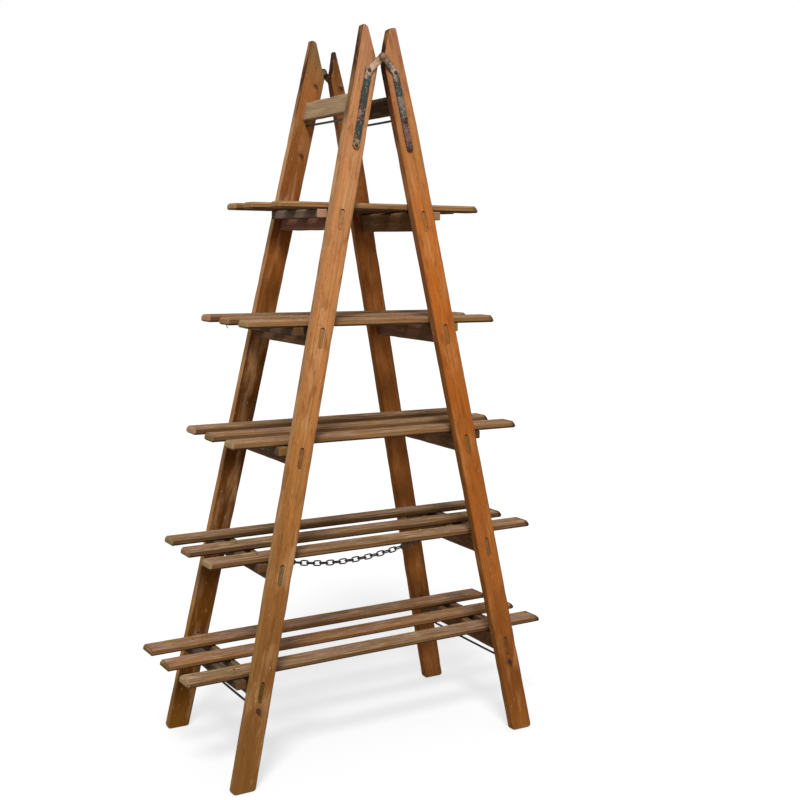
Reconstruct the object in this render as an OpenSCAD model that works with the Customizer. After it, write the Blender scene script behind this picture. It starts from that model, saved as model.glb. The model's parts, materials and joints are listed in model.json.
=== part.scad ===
// Folding two-sided wooden ladder that stands open and carries five slatted shelves.
// Two ladder frames hang on one pivot line near the top. Each shelf is three slats on
// two cross cleats and lies loose across a left and a right rung.
// +X runs along the slats, +Y to the far side, +Z up; the origin is on the floor, centred.

/* [Ladder frames] */
// Lean of each frame from upright, in degrees
lean = 12; // [10:0.5:13]
// Inward slope of each leg within its frame, in degrees
taper = 2.7; // [1:0.1:3]
// Width of a leg, seen from its broad side
leg_w = 62; // [54:1:72]
// Thickness of a leg
leg_t = 25; // [20:1:32]
// Outside width of a frame at the floor
frame_w = 502; // [470:2:560]
// Distance along a leg from the middle of the top rung up to the leg's tip
tip_rise = 192; // [170:1:215]
// Distance along a leg from its tip down to the pivot line
pivot_drop = 69.5; // [60:0.5:80]
// Gap between the left and right legs at the pivot
leg_gap = 9; // [6:0.5:14]
// Width of the blunt tip of each leg
tip_w = 14; // [10:1:20]

/* [Rungs] */
// Height of a rung along the frame
rung_h = 50; // [40:1:60]
// Thickness of a rung
rung_t = 18; // [16:1:24]
// Thickness of the tenon at each end of a rung
tenon_t = 14; // [10:1:15]
// Distance along the frame from the floor to the middle of the lowest rung
first_rung = 250; // [230:2:280]
// Distance between the rungs that carry shelves
rung_pitch = 300; // [285:1:310]
// Distance from the fifth rung to the top rung
top_rung_pitch = 308; // [290:1:330]

/* [Shelves] */
// Width of a slat
slat_w = 60; // [45:1:70]
// Thickness of a slat
slat_t = 18.5; // [14:0.5:22]
// Largest distance between the middles of neighbouring slats
slat_pitch = 136; // [100:1:145]
// How far the slats stand out past the legs
slat_overhang = 142; // [60:2:220]
// Width of a cleat
cleat_w = 28; // [20:1:36]
// Depth of a cleat
cleat_h = 22; // [16:1:28]
// Distance from a rung's outer face to its cleat
cleat_gap = 22; // [8:1:30]
// Space between a shelf and the legs beside it
side_gap = 4; // [3:0.5:8]

/* [Iron] */
// Width of a hinge strap
strap_w = 19; // [16:1:24]
// Thickness of a hinge strap
strap_t = 4; // [3:0.5:5]
// Distance of the strap's middle line from the leg's middle line
strap_shift = 5; // [0:1:8]
// Distance along the leg from the strap's top bolt down to its bottom bolt
strap_run = 193; // [160:1:220]
// Distance along the frame from the pivot line down to the strap's top bolt
strap_drop = 42.5; // [36:0.5:50]
// Diameter of the pivot pins
pin_d = 8; // [6:0.5:9]
// Diameter of the strap bolts
bolt_d = 6; // [5:0.5:8]
// Diameter of the tie rods
rod_d = 6; // [5:0.5:8]
// Distance from the lowest rung's lower edge down to the middle of the tie rod under it
rod_drop = 20; // [12:1:30]
// Distance from the top rung's lower edge down to the middle of the tie rod under it
top_rod_drop = 12; // [10:1:20]

/* [Chain] */
// Wire diameter of the chain links
wire_d = 4; // [3:0.5:5]
// Inside length of a chain link
link_in = 20.6; // [18:0.2:24]
// Inside width of a chain link
link_gap = 8; // [7:0.5:10]
// Chain length as a share of the gap that it hangs across
chain_slack = 1.015; // [1.01:0.001:1.03]

/* [Fits] */
// Gap under a shelf where it lies on its rungs
seat_gap = 0.3; // [0.3:0.1:0.6]
// Radial clearance of the pivot pins in the strap eyes
pin_clear = 0.05; // [0.02:0.01:0.1]
// Radial clearance of bolts and rods in their holes
bolt_clear = 0.2; // [0.1:0.05:0.5]
// Gap between parts that turn against each other at the hinge
turn_gap = 0.3; // [0.3:0.1:0.5]

/* [Hidden] */
SHELVES = 5;
SLATS = 3;
$fn = 40;

// Colours of the weathered wood and iron
LEG_COLOUR = "#a8683a";
RUNG_COLOUR = "#8a6650";
SLAT_COLOUR = "#8f7a66";
CLEAT_COLOUR = "#7d7268";
STRAP_COLOUR = "#66727a";
IRON_COLOUR = "#2b2624";
RUST_COLOUR = "#5a3a2a";

// How far a cut runs past the surface that it opens
PAST = 1;
// Depth by which joined shapes reach into each other
JOIN = 0.1;

// How far each rung sits above its even place
RUNG_UNEVEN = [3, -2, -6, 0, 3, 0];
// Where each shelf was laid, off the middle: toward the right, and toward the far side
SHELF_SHIFT_X = [0, 6, 14, 0, 8];
SHELF_SHIFT_Y = [-15, -14, 0, 2, 0];
// How far each shelf is turned, its right end toward the far side, in degrees
SHELF_TURN = [1.5, 1.2, 0, 0, 0];
// How far each shelf's left cleat stops short at its far end, and its right cleat at its near end
LEFT_CLEAT_SHORT = [0, 0, 0, 0, 20];
RIGHT_CLEAT_SHORT = [20, 20, 18, 0, 0];
// How much farther each slat reaches at both ends
SLAT_STAGGER = [3, -2, 3];

// The frames: a point along a frame's middle line is at distance s from the floor
function rung_s(k) = first_rung + (k - 1) * rung_pitch + RUNG_UNEVEN[k - 1]
    + (k > SHELVES ? top_rung_pitch - rung_pitch : 0);
leg_len = rung_s(SHELVES + 1) + tip_rise;
pivot_s = leg_len - pivot_drop;
// Level distance from the pivot line to a leg's middle line
pivot_offset = leg_w / 2 / cos(lean) + leg_gap / 2;
pivot_h = (pivot_s - pivot_offset * sin(lean)) * cos(lean);
foot_x = pivot_h * tan(lean) + pivot_offset;
half_w = frame_w / 2;
// Outside and inside of the legs, measured from the middle of the frame, at distance s
function outer_y(s) = half_w - s * tan(taper);
function inner_y(s) = outer_y(s) - leg_t / cos(taper);
// Height of a point at distance s and offset a toward the other frame
function height(s, a) = s * cos(lean) - a * sin(lean);
// Distance of the same point from the plane between the two frames
function side_x(s, a) = foot_x - s * sin(lean) - a * cos(lean);
// Distance along a frame, at its middle line, of a height z
function slope_at(z) = z / cos(lean);
// Distance of the pivot line from a leg's middle line, toward the other frame
pivot_a = foot_x * cos(lean) - pivot_h * sin(lean);

// Leg outline
FOOT_ROUND = 9;
TIP_ROUND = 2;
SHOULDER_ROUND = 30;
SHOULDER_DROP = 22;
ARC_STEPS = 5;
shoulder_s = pivot_s - SHOULDER_DROP;
// Corners of a leg's top past the shoulder: offset toward the other frame, and depth below the tip
PLAIN_TOP = [[-leg_w / 2 + tip_w, 0], [-leg_w / 2, 0]];
// The near right leg keeps its width a little longer, and its outer edge was dressed inward
DRESSED_TOP = [[28, 66], [-4, 0], [-leg_w / 2 + 7, 0], [-leg_w / 2, 250]];
// The far right leg was cut down to a point from just under the top rung
POINTED_TOP = [[3, 13], [-10, tip_rise - 42], [-leg_w / 2, tip_rise + 58]];

// Tie rods pass under the lowest and the top rung, the top one through the straps' middle line
rod_s = [rung_s(1) - rung_h / 2 - rod_drop, rung_s(SHELVES + 1) - rung_h / 2 - top_rod_drop];
rod_a = [0, strap_shift];
rod_end = 12;
washer_d = 18;
washer_t = 1.5;
nut_t = 5;
nut_w = 11;
rod_along = [for (s = rod_s) s / cos(taper)];

// Straps: the bolts sit along the leg's slope
strap_top = (pivot_s - strap_drop) / cos(taper);
strap_low = strap_top - strap_run;
bolt_head_d = 13;
bolt_head_t = 4;
bolt_end = 3;
bolt_washer_d = 16;
bolt_nut_w = 10;
eye_swell = 1.5;
eye_r = strap_w / 2 + eye_swell;
// The bend at the top bolt is forged a little wider and thicker than the strap
bend_swell = 2;
bend_proud = 1;
bend_d = strap_w + bend_swell;
// The arm stands square to the pivot line and clear of the sloping leg
arm_face_y = half_w - (strap_top - strap_w / 2) * sin(taper);
top_bolt_s = strap_top * cos(taper);
arm_vec = [pivot_a - strap_shift, pivot_s - top_bolt_s];
arm_len = norm(arm_vec);
arm_turn = atan2(arm_vec[1], arm_vec[0]);
crank_start = 8;
crank_margin = 3;
crank_end = arm_len - eye_r - crank_margin;
crank_out = strap_t + turn_gap;
pin_head_d = 17;
pin_head_t = 4;
pin_collar_d = 13;
pin_collar_t = 0.9;

// Shelves: the underside clears the rung's raised outer corner
function seat_z(k) = height(rung_s(k) + rung_h / 2, -rung_t / 2) + seat_gap;
function shelf_half(k) = side_x(slope_at(seat_z(k)), -leg_w / 2 / cos(lean)) + slat_overhang;
function cleat_x(k) = side_x(rung_s(k), -rung_t / 2) + cleat_gap + cleat_w / 2;
// Sideways room that a shelf's place and turn take up between the legs
function laid_room(k) = abs(SHELF_SHIFT_Y[k - 1]) + (cleat_x(k) + cleat_w / 2) * sin(SHELF_TURN[k - 1]);
// Half the free width between the legs over a shelf's whole depth
function free_y(k) = inner_y(slope_at(seat_z(k) + slat_t)) - side_gap - laid_room(k);
function slat_y(k, j) = (2 - j) * min(slat_pitch, free_y(k) - slat_w / 2);
edge_ease = 4.5;
// The slats' ends slant back above a low square edge, the left ends less
end_rise = 4;
left_slant = 4;
end_slant = 10;
nail_d = 3;
nail_head_d = 7;
nail_head_t = 1;
nail_short = 6;
nail_len = slat_t + cleat_h - nail_short;
nail_clear = 0.05;
// Nail heads are driven just under the slat's face
nail_sunk = 0.2;

// Chain: it hangs between two eyes on the inner faces of the second rungs
CHAIN_RUNG = 2;
eye_ring_r = 8;
eye_neck = 3;
eye_shank = 12;
eye_tip_gap = 1;
eye_z = height(rung_s(CHAIN_RUNG), rung_t / 2);
eye_face_x = side_x(rung_s(CHAIN_RUNG), rung_t / 2);
eye_x = eye_face_x - eye_neck - eye_ring_r - wire_d / 2;
link_play = 0.6;
link_pitch = link_in - link_play;
link_reach = (link_in + wire_d) / 2 - link_pitch / 2;
// Joints between the links start where the first link crosses the eye's ring
chain_half = eye_x - eye_ring_r + link_reach;
link_count = 2 * ceil((2 * chain_half * chain_slack / link_pitch - 1) / 2) + 1;
chain_len = link_count * link_pitch;
chain_sag = 2 * chain_half * sqrt(3 / 8 * (chain_len / (2 * chain_half) - 1));
// Height of the hanging curve above the eyes' level, at distance x from the middle
function hang(x) = chain_sag * (x * x / (chain_half * chain_half) - 1);
// Slope angle there
function hang_turn(x) = atan(2 * chain_sag * x / (chain_half * chain_half));
// The x of the point reached after walking d along the curve from the left end
function walk(d, x, step) = d < step ? x + d * cos(hang_turn(x))
    : walk(d - step, x + step * cos(hang_turn(x)), step);
WALK_STEP = 1;

// ---- outlines ----

// Points of an arc that rounds the corner b of the path a-b-c with radius r
function rounded(a, b, c, r) =
    let (u = (a - b) / norm(a - b), v = (c - b) / norm(c - b))
    let (half = acos(u * v) / 2, mid = (u + v) / norm(u + v))
    let (centre = b + mid * r / sin(half), reach = r / tan(half))
    let (p = b + u * reach - centre, q = b + v * reach - centre)
    let (start = atan2(p[1], p[0]), turn = atan2(p[0] * q[1] - p[1] * q[0], p * q))
    [for (i = [0:ARC_STEPS]) centre + r * [cos(start + turn * i / ARC_STEPS), sin(start + turn * i / ARC_STEPS)]];

// Broad side of a leg: x across the leg, toward the other frame; y along the leg
module leg_outline(top) {
    half = leg_w / 2;
    corners = concat(
        [[-half, -half * tan(lean)], [half, half * tan(lean)], [half, shoulder_s]],
        [for (p = top) [p[0], leg_len - p[1]]]
    );
    rounds = concat([FOOT_ROUND, FOOT_ROUND, SHOULDER_ROUND], [for (p = top) TIP_ROUND]);
    last = len(corners) - 1;
    polygon([for (i = [0:last]) each rounded(
        corners[i == 0 ? last : i - 1], corners[i], corners[i == last ? 0 : i + 1], rounds[i]
    )]);
}

// A board's section with eased edges
module eased(w, h) {
    e = edge_ease;
    polygon([
        [-w / 2 + e, 0], [w / 2 - e, 0], [w / 2, e], [w / 2, h - e],
        [w / 2 - e, h], [-w / 2 + e, h], [-w / 2, h - e], [-w / 2, e]
    ]);
}

// A slat's side, with its ends slanting back from a low square edge
module slanted_ends(half) {
    polygon([
        [-half, 0], [half, 0], [half, end_rise], [half - end_slant, slat_t],
        [-half + left_slant, slat_t], [-half, end_rise]
    ]);
}

// ---- places ----

// The left frame's own directions: x toward the other frame, z along the frame
module in_frame() {
    translate([-foot_x, 0, 0]) rotate([0, lean, 0]) children();
}

// The near leg's own directions: y into the leg from its broad outer side
module on_leg() {
    translate([0, -half_w, 0]) rotate([-taper, 0, 0]) children();
}

module far_side() {
    mirror([0, 1, 0]) children();
}

module right_side() {
    mirror([1, 0, 0]) children();
}

// A round bar along y from depth y1 to depth y2
module bar_y(d, y1, y2) {
    translate([0, y1, 0]) rotate([-90, 0, 0]) cylinder(d = d, h = y2 - y1);
}

// A hexagonal nut along y
module nut_y(w, y1, t) {
    translate([0, y1, 0]) rotate([-90, 0, 0]) cylinder(d = w / cos(30), h = t, $fn = 6);
}

// A domed head along y that rises toward -y from depth y1
module dome_y(d, y1, h) {
    ball_r = (d * d / 4 + h * h) / (2 * h);
    translate([0, y1, 0]) rotate([90, 0, 0]) intersection() {
        cylinder(d = d, h = h);
        translate([0, 0, h - ball_r]) sphere(r = ball_r);
    }
}

// ---- sub-parts of a frame ----

// Leg of the left frame, near side, standing on the floor
module leg(top) {
    reach = leg_len * 2;
    color(LEG_COLOUR) difference() {
        in_frame() on_leg() translate([0, leg_t, 0]) rotate([90, 0, 0]) linear_extrude(leg_t) leg_outline(top);
        in_frame() for (k = [1:SHELVES + 1]) mortise(k);
        in_frame() for (i = [0, 1])
            translate([rod_a[i], -half_w, rod_s[i]]) bar_y(rod_d + 2 * bolt_clear, 0, half_w);
        in_frame() on_leg() for (s = [strap_low, strap_top])
            translate([strap_shift, 0, s]) bar_y(bolt_d + 2 * bolt_clear, -PAST, leg_t + PAST);
        translate([-reach / 2, -reach / 2, -reach]) cube(reach);
    }
}

module mortise(k) {
    translate([-tenon_t / 2, -half_w, rung_s(k) - rung_h / 2]) cube([tenon_t, half_w, rung_h]);
}

// A bar across the left frame that ends on the slope given by the two half lengths
module cross_bar(thick, s, low_half, high_half) {
    translate([-thick / 2, 0, s]) rotate([90, 0, 90]) linear_extrude(thick) polygon([
        [-low_half, -rung_h / 2], [low_half, -rung_h / 2],
        [high_half, rung_h / 2], [-high_half, rung_h / 2]
    ]);
}

// Rung of the left frame with a through tenon at each end
module rung(k) {
    s = rung_s(k);
    low = s - rung_h / 2;
    high = s + rung_h / 2;
    color(RUNG_COLOUR) in_frame() difference() {
        union() {
            cross_bar(rung_t, s, inner_y(low), inner_y(high));
            cross_bar(tenon_t, s, outer_y(low), outer_y(high));
        }
        if (k == CHAIN_RUNG) eye_hole();
    }
}

// Hole for the shank of the chain's eye, level, into the rung's inner face
module eye_hole() {
    translate([rung_t / 2, 0, rung_s(CHAIN_RUNG)]) rotate([0, -lean, 0])
        translate([-eye_shank, 0, 0]) rotate([0, 90, 0]) cylinder(d = wire_d, h = eye_shank + rung_t);
}

// Tie rods of the left frame, each with a washer and a nut at both ends
module tie_rods() {
    color(IRON_COLOUR) in_frame() for (i = [0, 1]) {
        seat = i == 1 ? strap_t : 0;
        long = outer_y(rod_s[i]) + seat + rod_end;
        translate([rod_a[i], 0, rod_s[i]]) bar_y(rod_d, -long, long);
        for (side = [0, 1]) mirror([0, side, 0]) on_leg() translate([rod_a[i], 0, rod_along[i]]) {
            bar_y(washer_d, -seat - washer_t, -seat);
            nut_y(nut_w, -seat - washer_t - nut_t, nut_t + JOIN);
        }
    }
}

// ---- hinge ----

// Strap of the left frame, near side; crank is how far its eye stands out
module strap(crank) {
    color(STRAP_COLOUR) in_frame() difference() {
        union() {
            on_leg() rotate([90, 0, 0]) linear_extrude(strap_t) {
                translate([strap_shift - strap_w / 2, strap_low]) square([strap_w, strap_run]);
                translate([strap_shift, strap_low]) circle(d = strap_w);
            }
            on_leg() translate([strap_shift, 0, strap_top]) bar_y(bend_d, -strap_t - bend_proud, 0);
            arm(crank);
        }
        on_leg() for (s = [strap_low, strap_top])
            translate([strap_shift, 0, s]) bar_y(bolt_d + 2 * bolt_clear, -strap_t - bend_proud - PAST, PAST);
        translate([rod_a[1], -half_w, rod_s[1]]) bar_y(rod_d + 2 * bolt_clear, 0, half_w);
        translate([pivot_a, -half_w, pivot_s]) bar_y(pin_d + 2 * pin_clear, 0, half_w);
    }
}

// The strap's upper arm, from the top bolt to the eye on the pivot line
module arm(crank) {
    translate([strap_shift, -arm_face_y, top_bolt_s]) rotate([0, -arm_turn, 0]) {
        translate([0, 0, -strap_w / 2]) linear_extrude(strap_w) polygon([
            [0, 0], [crank_start, 0], [crank_end, -crank], [arm_len, -crank],
            [arm_len, -crank - strap_t], [crank_end, -crank - strap_t], [crank_start, -strap_t], [0, -strap_t]
        ]);
        translate([arm_len, -crank, 0]) bar_y(2 * eye_r, -strap_t, 0);
    }
}

// Pivot pin, near side: a rivet with its domed head outside
module pivot_pin() {
    eyes = 2 * strap_t + turn_gap;
    color(RUST_COLOUR) translate([0, -arm_face_y, pivot_h]) {
        bar_y(pin_d, -eyes - turn_gap, turn_gap);
        dome_y(pin_head_d, -eyes - turn_gap, pin_head_t);
        bar_y(pin_collar_d, turn_gap, turn_gap + pin_collar_t);
    }
}

// Bolts of the left frame's straps, with nuts on the legs' inner faces
module strap_bolts() {
    color(RUST_COLOUR) in_frame() for (side = [0, 1], top = [0, 1]) {
        seat = strap_t + top * bend_proud;
        mirror([0, side, 0]) on_leg() translate([strap_shift, 0, strap_low + top * strap_run]) {
            bar_y(bolt_d, -seat, leg_t + washer_t + nut_t + bolt_end);
            dome_y(bolt_head_d, -seat, bolt_head_t);
            bar_y(bolt_washer_d, leg_t, leg_t + washer_t);
            nut_y(bolt_nut_w, leg_t + washer_t, nut_t);
        }
    }
}

// ---- shelves ----

// A shelf's own directions: x along its slats, the origin under its middle at the floor
module laid(k) {
    translate([SHELF_SHIFT_X[k - 1], SHELF_SHIFT_Y[k - 1], 0]) rotate([0, 0, SHELF_TURN[k - 1]]) children();
}

module slat(k, j) {
    half = shelf_half(k) + SLAT_STAGGER[j - 1];
    color(SLAT_COLOUR) laid(k) difference() {
        translate([0, slat_y(k, j), seat_z(k)]) intersection() {
            translate([-half, 0, 0]) rotate([90, 0, 90]) linear_extrude(2 * half) eased(slat_w, slat_t);
            translate([0, slat_w, 0]) rotate([90, 0, 0]) linear_extrude(2 * slat_w) slanted_ends(half);
        }
        nail_places(k, j) {
            cylinder(d = nail_d + 2 * nail_clear, h = nail_len);
            translate([0, 0, nail_len - nail_sunk - nail_head_t])
                cylinder(d = nail_head_d + 2 * nail_clear, h = nail_head_t + nail_sunk + PAST);
        }
    }
}

// side is -1 for the left cleat and 1 for the right one
module cleat(k, side) {
    reach = free_y(k);
    far_end = reach - (side < 0 ? LEFT_CLEAT_SHORT[k - 1] : 0);
    near_end = (side > 0 ? RIGHT_CLEAT_SHORT[k - 1] : 0) - reach;
    color(CLEAT_COLOUR) laid(k) difference() {
        translate([side * cleat_x(k) - cleat_w / 2, near_end, seat_z(k) - cleat_h])
            cube([cleat_w, far_end - near_end, cleat_h]);
        for (j = [1:SLATS]) nail_places(k, j) cylinder(d = nail_d + 2 * nail_clear, h = nail_len + PAST);
    }
}

// The two nails of a slat, their points at the origin of the children
module nail_places(k, j) {
    for (side = [-1, 1])
        translate([side * cleat_x(k), slat_y(k, j), seat_z(k) + slat_t - nail_len]) children();
}

module nails(k) {
    color(IRON_COLOUR) laid(k) for (j = [1:SLATS]) nail_places(k, j) {
        cylinder(d = nail_d, h = nail_len - nail_sunk);
        translate([0, 0, nail_len - nail_sunk - nail_head_t]) cylinder(d = nail_head_d, h = nail_head_t);
    }
}

// ---- chain ----

// One link lying along x in the x-z plane
module link() {
    bend_r = (link_gap + wire_d) / 2;
    straight = link_in - link_gap;
    for (side = [-1, 1]) {
        translate([side * straight / 2, 0, 0]) rotate([90, 0, 0]) intersection() {
            rotate_extrude() translate([bend_r, 0]) circle(d = wire_d);
            translate([side > 0 ? 0 : -2 * link_in, -link_in, -wire_d]) cube([2 * link_in, 2 * link_in, 2 * wire_d]);
        }
        translate([-straight / 2, 0, side * bend_r]) rotate([0, 90, 0]) cylinder(d = wire_d, h = straight);
    }
}

// Links turn by a quarter from one to the next; the end links lie flat
module chain() {
    color(IRON_COLOUR) for (i = [0:link_count - 1]) {
        x = walk((i + 0.5) * link_pitch, -chain_half, WALK_STEP);
        translate([x, 0, eye_z + hang(x)]) rotate([0, -hang_turn(x), 0])
            rotate([i % 2 == 0 ? 90 : 0, 0, 0]) link();
    }
}

// Eye of the left rung: a ring in the x-z plane on a shank
module chain_eye() {
    ring_x = -eye_x;
    color(IRON_COLOUR) {
        translate([ring_x, 0, eye_z]) rotate([90, 0, 0])
            rotate_extrude() translate([eye_ring_r, 0]) circle(d = wire_d);
        translate([-eye_face_x - eye_shank + eye_tip_gap, 0, eye_z]) rotate([0, 90, 0])
            cylinder(d = wire_d, h = eye_shank - eye_tip_gap + eye_neck + wire_d / 2);
    }
}

// ---- the nodes ----

leg(PLAIN_TOP);  // near_left_leg
far_side() leg(PLAIN_TOP);  // far_left_leg
right_side() leg(DRESSED_TOP);  // near_right_leg
right_side() far_side() leg(POINTED_TOP);  // far_right_leg
for (k = [1:SHELVES + 1]) {
    rung(k);
    right_side() rung(k);
}
strap(0);  // near_left_strap
far_side() strap(0);  // far_left_strap
right_side() strap(crank_out);  // near_right_strap
right_side() far_side() strap(crank_out);  // far_right_strap
pivot_pin();  // near_pivot_pin
far_side() pivot_pin();  // far_pivot_pin
tie_rods();  // left_tie_rods
right_side() tie_rods();  // right_tie_rods
strap_bolts();  // left_strap_bolts
right_side() strap_bolts();  // right_strap_bolts
for (k = [1:SHELVES]) {
    for (j = [1:SLATS]) slat(k, j);
    cleat(k, -1);
    cleat(k, 1);
    nails(k);
}
chain();
chain_eye();  // left_chain_eye
right_side() chain_eye();  // right_chain_eye
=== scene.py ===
"""A folding two-sided ladder that stands open and carries five slatted plant shelves.

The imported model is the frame: every piece here rides on one of its bodies.
Settings are in millimetres times MM, so that Blender's metres come out.
"""

import json
import math

import bpy
import numpy as np
from bpy.props import FloatProperty, FloatVectorProperty, IntProperty, PointerProperty
from mathutils import Euler, Matrix, Vector, noise


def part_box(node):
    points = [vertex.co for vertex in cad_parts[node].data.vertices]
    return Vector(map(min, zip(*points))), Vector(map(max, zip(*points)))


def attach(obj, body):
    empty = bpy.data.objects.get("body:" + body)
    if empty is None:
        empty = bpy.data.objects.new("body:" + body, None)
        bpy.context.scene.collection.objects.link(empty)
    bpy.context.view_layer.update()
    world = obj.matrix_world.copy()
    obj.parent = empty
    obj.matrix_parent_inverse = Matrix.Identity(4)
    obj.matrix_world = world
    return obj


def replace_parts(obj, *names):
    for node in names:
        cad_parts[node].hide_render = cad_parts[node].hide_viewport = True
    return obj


bl_info = {
    "name": "Plant ladder stand",
    "version": (1, 0, 0),
    "blender": (4, 5, 0),
    "location": "View3D > Sidebar > Plant ladder",
    "description": "Worn wood and forged iron for a folding ladder with plant shelves",
    "category": "Object",
}

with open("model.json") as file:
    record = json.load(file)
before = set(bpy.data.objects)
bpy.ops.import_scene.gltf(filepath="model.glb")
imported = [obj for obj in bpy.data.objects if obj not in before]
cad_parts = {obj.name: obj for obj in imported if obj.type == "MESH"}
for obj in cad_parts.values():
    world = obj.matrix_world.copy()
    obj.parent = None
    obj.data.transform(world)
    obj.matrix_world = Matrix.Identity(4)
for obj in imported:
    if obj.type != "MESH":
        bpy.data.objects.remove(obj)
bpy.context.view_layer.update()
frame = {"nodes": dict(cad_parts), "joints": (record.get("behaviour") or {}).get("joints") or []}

MM = 0.001
SHELVES = 5
SLATS = 3
RUNGS = SHELVES + 1
LEFT, RIGHT = -1, 1
NEAR, FAR = -1, 1
SIDE_NAME = {LEFT: "left", RIGHT: "right"}
DEPTH_NAME = {NEAR: "near", FAR: "far"}
FOLD = next(joint for joint in frame["joints"] if joint["name"] == "fold")
# Each frame leans by half of the angle through which the ladder folds
LEAN = math.radians(FOLD["range_deg"][1] / 2)
PIVOT_HEIGHT = FOLD["pos_m"][2]


# ---- settings ----


def linear(colour):
    """Linear light values of an sRGB hex colour."""
    parts = [int(colour[i : i + 2], 16) / 255 for i in (1, 3, 5)]
    return [p / 12.92 if p <= 0.04045 else ((p + 0.055) / 1.055) ** 2.4 for p in parts]


def length(label, mm, about):
    """A length setting, given in millimetres."""
    return FloatProperty(name=label, description=about, default=mm * MM, unit="LENGTH", precision=4)


def paint(label, colour, about):
    """A colour setting, given as sRGB hex."""
    return FloatVectorProperty(name=label, description=about, default=linear(colour), subtype="COLOR", size=3)


def angle(label, degrees, about):
    """An angle setting, given in degrees."""
    return FloatProperty(name=label, description=about, default=math.radians(degrees), subtype="ANGLE")


class LadderFrameSettings(bpy.types.PropertyGroup):
    taper: angle("Taper", 2.7, "Inward slope of each leg within its frame")
    leg_length: length("Leg length", 1950, "Length of a leg along its slope")
    leg_width: length("Leg width", 62, "Width of a leg's broad side")
    leg_thick: length("Leg thickness", 25, "Thickness of a leg")
    leg_gap: length("Leg gap", 9, "Gap between the left and right legs at the pivot")
    tip_width: length("Tip width", 14, "Width of a leg's blunt tip")
    tip_rise: length("Tip rise", 192, "From the top rung's middle up to a leg's tip")
    shoulder_drop: length("Shoulder drop", 22, "From the pivot down to the start of the tip's slanted cut")
    floor_width: length("Floor width", 502, "Outside width of a frame at the floor")
    edge_wear: length("Edge wear", 1.6, "Deepest wear of a leg's long edges")


class RungSettings(bpy.types.PropertyGroup):
    height: length("Height", 50, "Height of a rung along the frame")
    thick: length("Thickness", 18, "Thickness of a rung")
    tenon: length("Tenon", 10.5, "Thickness of the tenon's rounded end, where it shows on a leg's outside")
    first: length("First rung", 250, "From the floor to the lowest rung, along the frame")
    pitch: length("Pitch", 300, "From one rung to the next")
    top_pitch: length("Top pitch", 308, "From the fifth rung to the top one")
    mortise_gap: length("Mortise gap", 0.9, "Dark gap round a tenon's end")
    top_gap: length("Top gap", 2.2, "Extra dark gap over a tenon's end")
    edge_wear: length("Edge wear", 1.2, "Deepest wear of a rung's edges")


class ShelfSettings(bpy.types.PropertyGroup):
    edge_round: length("Edge bevel", 4.8, "Size of the bevel along a slat's edges")
    cleat_round: length("Cleat edge", 1.8, "Size of the bevel along a cleat's edges")
    cleat_width: length("Cleat width", 28, "Width of a cleat")
    left_slant: length("Left slant", 3, "How far the top of a slat's left end leans back")
    right_slant: length("Right slant", 9, "How far the top of a slat's right end leans back")
    wear: length("Wear", 1.5, "Deepest wear of a slat's edges")
    corner_wear: length("Corner wear", 2.6, "How far a slat's corners are knocked in")
    warp: length("Warp", 1.4, "How far a slat wanders off straight")
    step: length("Step", 14, "Distance between a board's cross rows")
    nail_head: length("Nail head", 7, "Diameter of a shelf nail's head")


class IronSettings(bpy.types.PropertyGroup):
    rod: length("Rod", 6, "Diameter of the tie rods")
    rod_drop: length("Rod drop", 20, "From the lowest rung's lower edge to the rod under it")
    top_rod_drop: length("Top rod drop", 12, "From the top rung's lower edge to the rod under it")
    rod_end: length("Rod end", 12, "How far a rod stands out past a leg")
    washer: length("Washer", 14, "Diameter of the rods' washers")
    nut: length("Nut", 9, "Width of the rods' nuts")
    bolt_head: length("Bolt head", 10, "Diameter of the straps' bolt heads")
    strap_shift: length("Strap shift", 5, "From a leg's middle line to its strap's")
    strap_thick: length("Strap thickness", 4, "Thickness of a hinge strap")
    strap_run: length("Strap run", 193, "From a strap's top bolt to its bottom bolt")
    strap_drop: length("Strap drop", 110, "From the leg's tip down to the strap's top bolt")
    wire: length("Wire", 4, "Wire diameter of the chain's links")
    link_length: length("Link length", 20.6, "Inside length of a link")
    link_gap: length("Link gap", 9, "Inside width of a link")
    link_count: IntProperty(name="Links", description="Number of links in the chain", default=29)


class ColourSettings(bpy.types.PropertyGroup):
    slat: paint("Slat tops", "#927050", "Rained-on top of the slats")
    # The slat sides darken on the lower shelves partly in their own colour and partly as painted shade from the
    # shelves above.
    slat_side: paint("Slat sides", "#a37b4e", "Sides of the slats, before they darken toward the ground")
    cleat: paint("Cleats", "#776352", "Grey-brown wood of the cleats")
    rust: paint("Rust", "#4a2a1f", "Rust of the bolt heads, low rod nuts and nails")
    painted_nut: paint("Painted nuts", "#857263", "Old paint on the rod nuts that hold the straps")
    pin: paint("Pivot pins", "#8a6a50", "Brown paint left on the pivot pins' heads")
    nut: paint("Nuts", "#8a5f34", "Orange-brown nuts on the legs' inner faces")
    iron: paint("Iron", "#241c1a", "Blackened iron of the rods and the chain")
    floor: paint("Floor", "#f2f2f2", "Pale studio floor")
    bounce: paint("Bounce", "#8c857c", "Floor colour that the light bounces off")


class PlantLadderSettings(bpy.types.PropertyGroup):
    frames: PointerProperty(type=LadderFrameSettings)
    rungs: PointerProperty(type=RungSettings)
    shelves: PointerProperty(type=ShelfSettings)
    iron: PointerProperty(type=IronSettings)
    colours: PointerProperty(type=ColourSettings)


def settings():
    return bpy.context.scene.plant_ladder


# ---- places on the ladder ----


def foot_x():
    """Distance of a frame's middle line from the centre, at the floor."""
    f = settings().frames
    return PIVOT_HEIGHT * math.tan(LEAN) + f.leg_width / 2 / math.cos(LEAN) + f.leg_gap / 2


def outer_y(s):
    """Outside of the legs, measured from a frame's middle, at distance s along it."""
    f = settings().frames
    return f.floor_width / 2 - s * math.tan(f.taper)


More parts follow.
